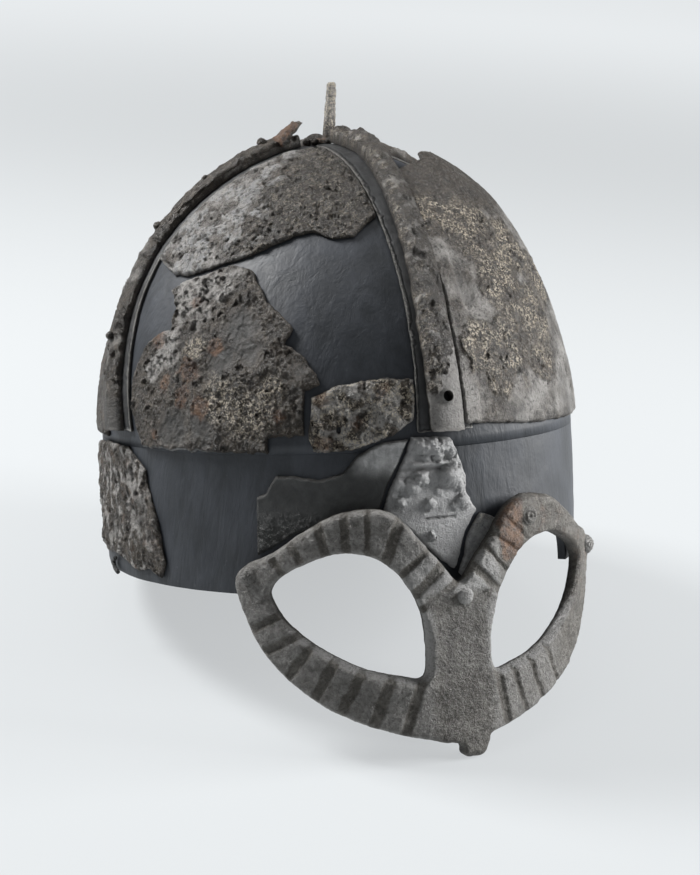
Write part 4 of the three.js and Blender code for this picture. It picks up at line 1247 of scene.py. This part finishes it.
def rough_rib_finish(seed, calm_foot=False):
    """Rust all over, apart from a calm foot where asked."""
    def finish(flat, rims, points):
        skin, grain, hollow = rust_skin(points, seed, 1.0, 0.4, 0.8)
        calm = 0
        if calm_foot:
            calm = 1 - smooth(0.12, 0.22, rise_of(points) + 0.05 * fractal(points, 8, 3, seed + 3))
        height = (1 - 0.85 * calm) * skin - 0.3
        pale = 0.6 * (1 - calm) * smooth(-0.1, 0.5, fractal(points, 9, 3, seed + 4))
        return (RIB_SEAT + rib_profile(flat) + height * smooth(0, 1.2, rims[0]),
                masks_of(points, hollow=hollow * (1 - calm), grain=grain * (1 - calm), calm=0.8 * calm,
                         pale=pale))
    return finish


def on_strip(flat):
    return RIB_SEAT


def ribs():
    foot = float(climb_at(FOOT_RISE))
    long_top = near_axis(SPIKE_FOOT_RADIUS + SEAT_GAP, CROWN_HALF_LENGTH)
    side_top = near_axis(RIGHT_RIB_BREAK, CROWN_HALF_WIDTH)
    loop = arm_loop(foot, long_top, RIB_RIM_HALF_WIDTH, RIB_TOP_HALF_WIDTH, 0.4, 111)
    hole = circle((0, float(climb_at(TAB_HOLE_RISE)) * CLIMB_STEP), TAB_HOLE_RADIUS, 24)
    place = on_arm(0, front_rib_stray)
    rib = sheet("rib_brow_to_apex", [loop, hole], place, front_rib_finish, on_strip, brown_iron, 0.5)
    finished(rib, "pale_iron", "rib_front")
    rows = [
        ("rib_right_side", -90, side_top, right_stray, 0.6, "rib_right", True),
        ("rib_left_side", 90, side_top, no_stray, 1.2, "rib_left", False),
        ("rib_rear", 180, long_top, no_stray, 1.2, "rib_back", False),
    ]
    for seed, (name, azimuth, top, stray, cell, node, calm_foot) in enumerate(rows, 121):
        loop = arm_loop(foot, top, RIB_RIM_HALF_WIDTH, RIB_TOP_HALF_WIDTH, 0.6, seed, cell)
        finish = rough_rib_finish(seed * 3, calm_foot)
        rib = sheet(name, [loop], on_arm(azimuth, stray), finish, on_strip, brown_iron, cell)
        finished(rib, "dark_iron", node)


# Grooves between the guard's bars: outer azimuth and drop, inner azimuth and drop, half width in millimetres
GROOVES = [
    (-43, 0.551, -39.2, 0.517, 1.4), (-39.9, 0.617, -35.7, 0.584, 1.5), (-35.6, 0.683, -32.7, 0.626, 1.7),
    (-31.1, 0.763, -28.1, 0.682, 1.9), (-26.6, 0.831, -22.8, 0.726, 1.8), (-20, 0.877, -16.7, 0.755, 2.1),
    (-13.8, 0.92, -10.4, 0.78, 1.9), (-4.8, 0.952, -4.4, 0.714, 2.4),
    (-38.5, 0.345, -37, 0.38, 1.2), (-34.9, 0.293, -33.8, 0.323, 1.4), (-29.6, 0.219, -28.3, 0.305, 1.7),
    (-24.1, 0.202, -24, 0.294, 1.5), (-19.4, 0.18, -19.7, 0.296, 0.9), (-12.8, 0.21, -15.5, 0.317, 1.9),
    (-6.6, 0.308, -12, 0.376, 1.1), (-3.3, 0.356, -9.4, 0.44, 2.1), (0, 0.411, -7.9, 0.492, 1.5),
    (4.7, 0.4, 9.4, 0.472, 1.6), (7.2, 0.336, 10.6, 0.393, 0.8), (9.8, 0.298, 15.6, 0.36, 0.9),
    (13.7, 0.261, 18.1, 0.321, 1.0), (10.8, 0.918, 8.6, 0.76, 1.9), (15.9, 0.882, 12.9, 0.746, 1.1),
    (20.9, 0.847, 18.1, 0.735, 1.1), (26, 0.79, 23, 0.69, 1.0),
]


def guard_flat(rows):
    rows = np.array(rows, float)
    return np.stack([rows[:, 0] * CLIMB_STEP, -rows[:, 1] * GUARD_TIP_DROP], -1)


def guard_loops():
    left = guard_flat(GUARD_EDGE)
    right_edge = left[::-1] * np.array([-1, 1])
    outline = np.vstack([left, guard_flat(GUARD_TIP), right_edge[:-1]])
    # The notch's own point is left out, which keeps the notch soft
    around = curve_through(outline, 0.7)[1:]
    outer = evened(fray(evened(around, 0.8), 0.3, 5, 131), 0.8)
    eyes = []
    for sign in (1, -1):
        hole = evened(curve_through(guard_flat(EYE_HOLE) * np.array([sign, 1]), 0.7), 0.8)
        eyes.append(evened(fray(hole, 0.22, 4, 132 + sign), 0.8))
    return outer, eyes


def near_line(flat, start, end):
    """The distance from each point to the line through start and end, and its share along it."""
    along = end - start
    length = np.hypot(*along)
    share = (flat - start) @ along / length ** 2
    away = np.abs((flat - start) @ np.array([-along[1], along[0]])) / length
    return away, share


def guard_finish(flat, rims, points):
    """Raised bars between grooves, a plain nose piece and a brown left end."""
    azimuth = flat[:, 0] / CLIMB_STEP
    drop = -flat[:, 1] / GUARD_TIP_DROP
    outer_rim, hole_rim = rims[0], np.minimum(rims[1], rims[2])
    edge = np.minimum(outer_rim, hole_rim)
    wander = 0.5 * fractal(points, 4, 3, 141)
    groove = np.zeros(len(flat))
    for outer_azimuth, outer_drop, inner_azimuth, inner_drop, half in GROOVES:
        start, end = guard_flat([(outer_azimuth, outer_drop), (inner_azimuth, inner_drop)])
        away, share = near_line(flat, start, end)
        inside = smooth(-0.6, -0.4, share) * (1 - smooth(1.4, 1.6, share))
        groove = np.maximum(groove, inside * (1 - smooth(half - 0.5, half + 0.5, away + wander)))
    nasal = (1 - smooth(5, 8, np.abs(azimuth) - 3 * smooth(0.55, 0.4, drop))) * smooth(0.44, 0.47, drop)
    plain = smooth(20, 24, azimuth) * (1 - smooth(0.6, 0.7, drop)) + smooth(27, 31, azimuth)
    groove *= (1 - np.clip(plain, 0, 1)) * (1 - nasal)
    bars = (1 - groove) * (1 - nasal)
    lower = smooth(0.53, 0.62, drop)
    chamfer = lower * 2.4 * (1 - smooth(0, 2.8, hole_rim))
    rounded = 1.2 * (1 - np.sqrt(smooth(0, 1.8, outer_rim)))
    rounded += 0.7 * (1 - lower) * (1 - np.sqrt(smooth(0, 1.2, hole_rim)))
    skin, grain, hollow = rust_skin(points, 144, 0.45, 0.2, 0.35)
    domed = 0.35 * np.sin(np.pi * np.clip(edge / 9, 0, 1))
    sandy = 0.3 * grains(points, 1.3, 0.8, 148)
    step = nasal * 0.35 * smooth(0.735, 0.745, drop + 0.004 * fractal(points, 4, 2, 149))
    height = GUARD_BAR_RISE * bars * smooth(0, 1.2, edge) + (0.45 * skin + sandy) * smooth(0, 1.2, edge)
    height += domed - 0.3 + step - rounded - chamfer
    # The left ring is brown, with one rusty bar, and the bars beside the nose are paler with a painted
    # highlight
    brown = smooth(15, 21, azimuth) * (1 - smooth(0.45, 0.55, drop)) + 0.7 * smooth(24, 32, azimuth)
    brown = np.clip(brown, 0, 1)
    rusty = smooth(9.5, 10.5, azimuth + 6 * (0.33 - drop)) * (1 - smooth(15.5, 17.5, azimuth))
    rusty *= 1 - smooth(0.36, 0.4, drop)
    bright = smooth(-16, -9, azimuth) * (1 - smooth(8, 10, azimuth))
    bright *= smooth(0.3, 0.4, drop) * (1 - smooth(0.7, 0.74, drop))
    pale = 0.6 * bars + 0.35 * nasal + 0.35 * bright * bars + 0.1 * bright
    pale += 0.7 * lower * (1 - smooth(1.2, 2.4, hole_rim)) - 0.45 * brown - rusty
    rust = 0.8 * rusty + (0.35 + 0.3 * fractal(points, 6, 3, 147)) * brown + 0.25 * groove
    # Painted shade in the pits, and faintly in the grooves
    hollow = 0.4 * hollow + 0.08 * groove
    return (GUARD_THICKNESS + height,
            masks_of(points, pale=np.clip(pale, 0, 1), rust=np.clip(rust, 0, 1), grain=0.5 * grain,
                     even=0.45 - 0.3 * nasal, hollow=np.clip(hollow, 0, 1)))


def spectacle_guard():
    outer, eyes = guard_loops()
    guard = sheet("guard", [outer, *eyes], on_guard, guard_finish, lambda flat: 0, ring_iron, 0.75, 3.0)
    return finished(guard, "guard_iron", "spectacle_guard")


# Lofted pieces
def loft(name, rings, material, masks):
    """A closed skin over rings of points, with a point at the middle of each end, where masks are 0."""
    count, around = len(rings), len(rings[0])
    points = np.vstack([*rings, [np.mean(rings[0], 0)], [np.mean(rings[-1], 0)]])
    faces = []
    for ring in range(count - 1):
        for k in range(around):
            a, b = ring * around + k, ring * around + (k + 1) % around
            c, d = a + around, b + around
            faces += [(a, b, d), (a, d, c)]
    last = (count - 1) * around
    for k in range(around):
        faces.append((len(points) - 2, (k + 1) % around, k))
        faces.append((len(points) - 1, last + k, last + (k + 1) % around))
    masks = {key: np.append(values, [0, 0]) if np.ndim(values) else values for key, values in masks.items()}
    return new_piece(name, points, faces, material, masks_of(points, **masks))


def tube(path, outward, radii, squash, around):
    """Rings round a path, squashed along the outward direction."""
    along = np.gradient(path, axis=0)
    along /= np.linalg.norm(along, axis=1)[:, None]
    across = np.cross(along, outward)
    across /= np.linalg.norm(across, axis=1)[:, None]
    outward = np.cross(across, along)
    angles = np.linspace(0, 2 * np.pi, around, endpoint=False)
    wide, high = np.cos(angles)[:, None], squash * np.sin(angles)[:, None]
    return np.array([spot + radius * (wide * a + high * b)
                     for spot, radius, a, b in zip(path, radii, across, outward)])


def roughened(rings, amount, size, octaves, seed):
    flat = rings.reshape(-1, 3)
    drift = [fractal(flat, size, octaves, seed + k) for k in (0, 1, 2)]
    return rings + amount * np.stack(drift, -1).reshape(rings.shape)


def crust_rings(path, radii, squash, seed, around, rough):
    outward = path / np.linalg.norm(path, axis=1)[:, None]
    return roughened(tube(path, outward, radii, squash, around), rough, 2.4, 4, seed)


# The layer that has lifted off the right rib: rise, offset from the crown, half width
SCAB = [
    (0.66, 4.6, 2.0), (0.7, 5.0, 4.4), (0.8, 5.3, 5.2), (0.9, 5.4, 5.4), (0.95, 5.6, 5.4), (0.983, 6.2, 5.2),
]
# Prongs at its end: rise, forward and offset in millimetres at each end, the two radii and the rust
PRONGS = [
    ((0.972, 1.5, 6.0), (0.9905, 1.5, 12.6), 4.2, 1.3, 0.95),
    ((0.98, -1, 6.0), (0.9945, -2, 12.6), 3.4, 1.2, 0.3),
]
# Lumps along the rib: rise, forward, offset and radius
RIB_LUMPS = [
    (0.958, 0.5, 8.6, 2.1), (0.85, 0.5, 7.6, 1.6), (0.7, -1, 7.4, 1.8), (0.35, 0.5, 7.6, 1.8),
    (0.3, 3.5, 6.6, 1.5),
]


def on_right_rib(rise, forward, offset):
    place = on_arm(-90, right_stray)
    return place(np.array([[forward, float(climb_at(rise)) * CLIMB_STEP]]), offset)[0]


def rib_scab():
    """The lifted layer, the prongs at its end and the lumps along the rib."""
    rows = np.array(SCAB)
    marks = np.linspace(0, len(rows) - 1, 48)
    rise, offset, half = [np.interp(marks, np.arange(len(rows)), rows[:, k]) for k in (0, 1, 2)]
    path = np.array([on_right_rib(r, 0.0, o) for r, o in zip(rise, offset)])
    rings = crust_rings(path, half, 0.5, 161, 26, 0.7)
    grain = 0.8 * grains(rings.reshape(-1, 3), 2.2, 0.7, 163)
    finished(loft("rib_scab", rings, brown_iron, {"grain": grain}), "dark_iron")
    for index, (low, high, wide, narrow, rust) in enumerate(PRONGS):
        shares = np.linspace(0, 1, 14)
        start = on_right_rib(*low)
        path = start + shares[:, None] * (on_right_rib(*high) - start)
        rings = crust_rings(path, wide + (narrow - wide) * shares, 0.7, 171 + index, 14, 0.8)
        finished(loft(f"rib_prong_{index + 1}", rings, brown_iron, {"rust": rust}), "dark_iron")
    for index, (rise_at, forward, offset_at, radius) in enumerate(RIB_LUMPS):
        lump(f"rib_lump_{index + 1}", on_right_rib(rise_at, forward, offset_at), radius, 181 + index)


def lump(name, centre, radius, seed):
    """A rough nodule of corrosion."""
    turns = np.linspace(0.08, np.pi - 0.08, 12)[:, None]
    angles = np.linspace(0, 2 * np.pi, 16, endpoint=False)
    wide, level = np.sin(turns), -np.cos(turns) + 0 * angles
    rings = np.stack([wide * np.cos(angles), wide * np.sin(angles), level], -1)
    flat = rings.reshape(-1, 3)
    flat *= radius * (1 + 0.3 * fractal(flat * radius, 2.0, 3, seed))[:, None]
    flat += centre
    grain = 0.6 * grains(flat, 1.8, 0.7, seed)
    return finished(loft(name, rings, brown_iron, {"grain": grain}), "dark_iron")


# Nodules round the spike's foot: x, y and height above the rib's seat, radius
FOOT_NODULES = [
    (-8.0, -2.0, 0.4, 1.9), (-5.5, -5.0, 0.6, 1.7), (5.6, -5.2, 2.6, 2.2), (7.5, -1.5, 1.6, 1.8),
    (-3.0, 6.0, 0.5, 1.8), (0.5, -6.6, 0.8, 1.6), (13.5, -12, 4.3, 1.8),
]
# The spike's foot as height over its seat, and how far the radius is drawn in. The nail stands to the
# wearer's left of the foot's middle and leans further out
FOOT_PROFILE = [(0, 0), (0.9, 0), (1.7, 1.2), (2.3, 3)]
SPIKE_SHIFT = 3.2
SPIKE_LEAN = 2.4


def crown_spike():
    """A square tapered nail on a lumpy round foot."""
    seat = CROWN_HEIGHT + RIB_SEAT
    angles = np.linspace(0, 2 * np.pi, 32, endpoint=False)
    square = 1 / (np.abs(np.cos(angles)) ** 5 + np.abs(np.sin(angles)) ** 5) ** (1 / 5)

    def ring(middle, radius, height):
        sideways, forward = radius * np.cos(angles), radius * np.sin(angles)
        return np.stack([middle + sideways, forward, seat + height + 0 * angles], -1)

    rings = [ring(0, SPIKE_FOOT_RADIUS - drawn_in, height) for height, drawn_in in FOOT_PROFILE]
    for share in np.linspace(0, 1, 50):
        half = (SPIKE_BASE_WIDTH + (SPIKE_TIP_WIDTH - SPIKE_BASE_WIDTH) * share) / 2
        half *= 1 - 0.35 * smooth(0.97, 1.0, share)
        middle = SPIKE_SHIFT + SPIKE_LEAN * share
        rings.append(ring(middle, half * square, SPIKE_FOOT_THICKNESS + SPIKE_HEIGHT * share))
    rings = np.array(rings)
    flat = rings.reshape(-1, 3)
    high = (flat[:, 2] - seat) / SPIKE_HEIGHT
    outward = flat * np.array([1, 1, 0]) / np.maximum(np.linalg.norm(flat[:, :2], axis=1), 1)[:, None]
    rough = 0.38 * fractal(flat, 1.8, 4, 151) * (1 + 1.6 * (1 - smooth(0.05, 0.2, high)))
    flat += outward * rough[:, None]
    spike = loft("spike_nail", rings, brown_iron, {
        "rust": 0.6 * (1 - smooth(0.05, 0.3, high)), "pale": 0.7 * smooth(0.15, 0.5, high),
        "crust": 0.9 * smooth(0.1, 0.4, high), "grain": 0.8 * grains(flat, 1.5, 0.8, 155),
    })
    finished(spike, "pale_iron", "spike")
    for index, (x, y, height, radius) in enumerate(FOOT_NODULES):
        lump(f"apex_nodule_{index + 1}", np.array([x, y, seat + height]), radius, 191 + index)


# The bit of a mail ring: azimuth and drop
MAIL_HOOK = [(-91, 0.895), (-93, 0.93), (-92, 0.975), (-89.5, 1)]
MAIL_WIRE_RADIUS = 0.9


def mail_ring():
    rows = np.array(MAIL_HOOK)
    marks = np.linspace(0, len(rows) - 1, 24)
    azimuth, drop = [np.interp(marks, np.arange(len(rows)), rows[:, k]) for k in (0, 1)]
    for _ in range(3):
        azimuth[1:-1] = (azimuth[:-2] + 2 * azimuth[1:-1] + azimuth[2:]) / 4
        drop[1:-1] = (drop[:-2] + 2 * drop[1:-1] + drop[2:]) / 4
    middle = SEAT_GAP + PLATE_THICKNESS / 2
    path = brow_points(azimuth, -drop * BROW_HEIGHT, middle)
    outward = brow_points(azimuth, -drop * BROW_HEIGHT, middle + 1) - path
    rings = roughened(tube(path, outward, [MAIL_WIRE_RADIUS] * len(path), 1, 12), 0.15, 1.5, 2, 1)
    return finished(loft("mail_hook", rings, strip_iron, {}), "dark_iron", "mail_ring")


def rivet_tree():
    """One rivet head: a round dome, with a raised ring round a pin where the ring's share is over 0."""
    size = "NodeSocketFloat"
    nodes = Nodes("rivet head", {
        "Radius": (size, 3.0), "Rise": (size, 1.5), "Ring": (size, 0.0), "Roughness": (size, 0.2),
        "Seed": (size, 0.0), "Segments": ("NodeSocketInt", 40), "Material": ("NodeSocketMaterial", None),
    })
    given = nodes.inputs
    ball = nodes.add("GeometryNodeMeshUVSphere", {"Segments": given["Segments"], "Rings": given["Segments"]})
    spot = nodes.add("GeometryNodeInputPosition").outputs[0]
    axis = nodes.add("ShaderNodeSeparateXYZ", {0: spot}).outputs
    above = nodes.math("MAXIMUM", axis["Z"], 0.0)
    wave = nodes.times(nodes.math("COSINE", nodes.times(nodes.from_axis(axis), 11.0)), given["Ring"])
    high = nodes.plus(nodes.times(above, given["Rise"]), nodes.times(wave, above))
    wide = {key: nodes.times(axis[key], given["Radius"]) for key in ("X", "Y")}
    place = nodes.add("ShaderNodeCombineXYZ", {**wide, "Z": high}).outputs[0]
    shaped = nodes.add("GeometryNodeSetPosition", {"Geometry": ball.outputs["Mesh"], "Position": place})
    sockets = {"W": given["Seed"], "Vector": spot, "Scale": 2.5}
    texture = nodes.add("ShaderNodeTexNoise", sockets, noise_dimensions="4D")
    height = nodes.times(given["Roughness"], above)
    return nodes.end(nodes.uneven(shaped.outputs[0], texture.outputs["Fac"], height))


# Rivets: piece, node, azimuth, height, radius, rise, ring, seat over the guard's outer side, and wear
RIVETS = [
    ("rivet_brow", "rivet_nasal", 1, -57.5, 3.4, 1.6, 0.0, 0.0, 1.0),
    ("rivet_eye", "rivet_left_eye", 18.5, -29.5, 4.0, 1.4, 0.35, GUARD_BAR_RISE, 0.5),
    ("rivet_end_left", "rivet_left_end", 46, -50, 4.2, 3.6, 0.0, 0.0, 0.8),
    ("rivet_end_right", "rivet_right_end", -44.5, -47, 3.6, 1.8, 0.0, GUARD_BAR_RISE, 0.6),
]


def rivets():
    tree = rivet_tree()
    for seed, (name, node, azimuth, height, radius, rise, ring, seat, worn) in enumerate(RIVETS):
        mesh = tree.plain_mesh(name, {
            "Radius": radius, "Rise": rise, "Ring": ring, "Roughness": 0.9, "Seed": float(seed),
            "Segments": 40, "Material": ring_iron,
        })
        base = guard_points(azimuth, height, GUARD_THICKNESS + seat)
        outward = Vector(guard_points(azimuth, height, GUARD_THICKNESS + seat + 1) - base)
        turned = outward.to_track_quat("Z", "Y").to_matrix().to_4x4()
        mesh.transform(Matrix.Translation(Vector(base)) @ turned)
        paint(mesh, {"pale": worn, "even": 0.6 * worn})
        mesh.shade_smooth()
        finished(as_piece(name, mesh), "guard_iron", node)


# Studio: a pale floor, a pale room and soft lights
FLOOR_RADIUS = 30.0
FLOOR_COLOUR = (0.17, 0.177, 0.18)
ROOM_COLOUR = (0.95, 0.98, 1.0)
ROOM_GLOW = 0.16
# The floor's own glow at the middle, and its changes: from and to a distance in metres, and by how much
FLOOR_GLOW = 0.54
GLOW_CHANGES = [(0.9, 1.9, 0.3), (0.3, 0.9, -0.08)]
# Soft lights: right, up and back shares along the camera's axes, distance and size in metres, and power
LIGHTS = [
    ("light_right", (0.94, 0.26, -0.02), 1.4, 0.6, 36.0),
    ("light_left", (-0.64, 0.76, 0.0), 1.4, 0.45, 34.0),
    ("light_top", (0.1, 1.0, 0.25), 1.6, 1.2, 5.0),
]


def studio():
    """A floor that glows a little like the photograph's background, a pale room and three lights."""
    r = FLOOR_RADIUS
    floor_mesh = bpy.data.meshes.new("floor")
    floor_mesh.from_pydata([(-r, -r, 0), (r, -r, 0), (r, r, 0), (-r, r, 0)], [], [(0, 1, 2, 3)])
    floor = linked("floor", floor_mesh)
    f = Finish("pale_floor")
    away = f.add("ShaderNodeVectorMath", {0: f.place}, operation="LENGTH").outputs["Value"]
    glow = FLOOR_GLOW
    for low, high, change in GLOW_CHANGES:
        glow = f.plus(glow, f.times(f.step(away, low, high), change))
    f.feed(f.shader.inputs["Emission Strength"], glow)
    f.shader.inputs["Base Color"].default_value = (*FLOOR_COLOUR, 1)
    f.shader.inputs["Roughness"].default_value = 0.9
    f.shader.inputs["Specular IOR Level"].default_value = 0.0
    f.shader.inputs["Emission Color"].default_value = (*ROOM_COLOUR, 1)
    floor_mesh.materials.append(f.material)

    world = bpy.data.worlds.new("room")
    world.use_nodes = True
    background = world.node_tree.nodes["Background"].inputs
    background["Color"].default_value = (*ROOM_COLOUR, 1)
    background["Strength"].default_value = ROOM_GLOW
    bpy.context.scene.world = world

    target = Vector(to_world(np.array([0, -20, 20])))
    for name, way, distance, width, power in LIGHTS:
        data = bpy.data.lights.new(name, "AREA")
        data.energy = power
        data.size = width
        lamp = linked(name, data)
        direction = Vector(axes @ np.array(way)).normalized()
        lamp.location = target + direction * distance
        lamp.rotation_euler = direction.to_track_quat("Z", "Y").to_euler()
    bpy.context.scene.view_settings.view_transform = "Standard"


crown_shell()
brow_shell()
crown_plates()
brow_plates()
strips()
ribs()
spectacle_guard()
crown_spike()
rib_scab()
mail_ring()
rivets()
studio()
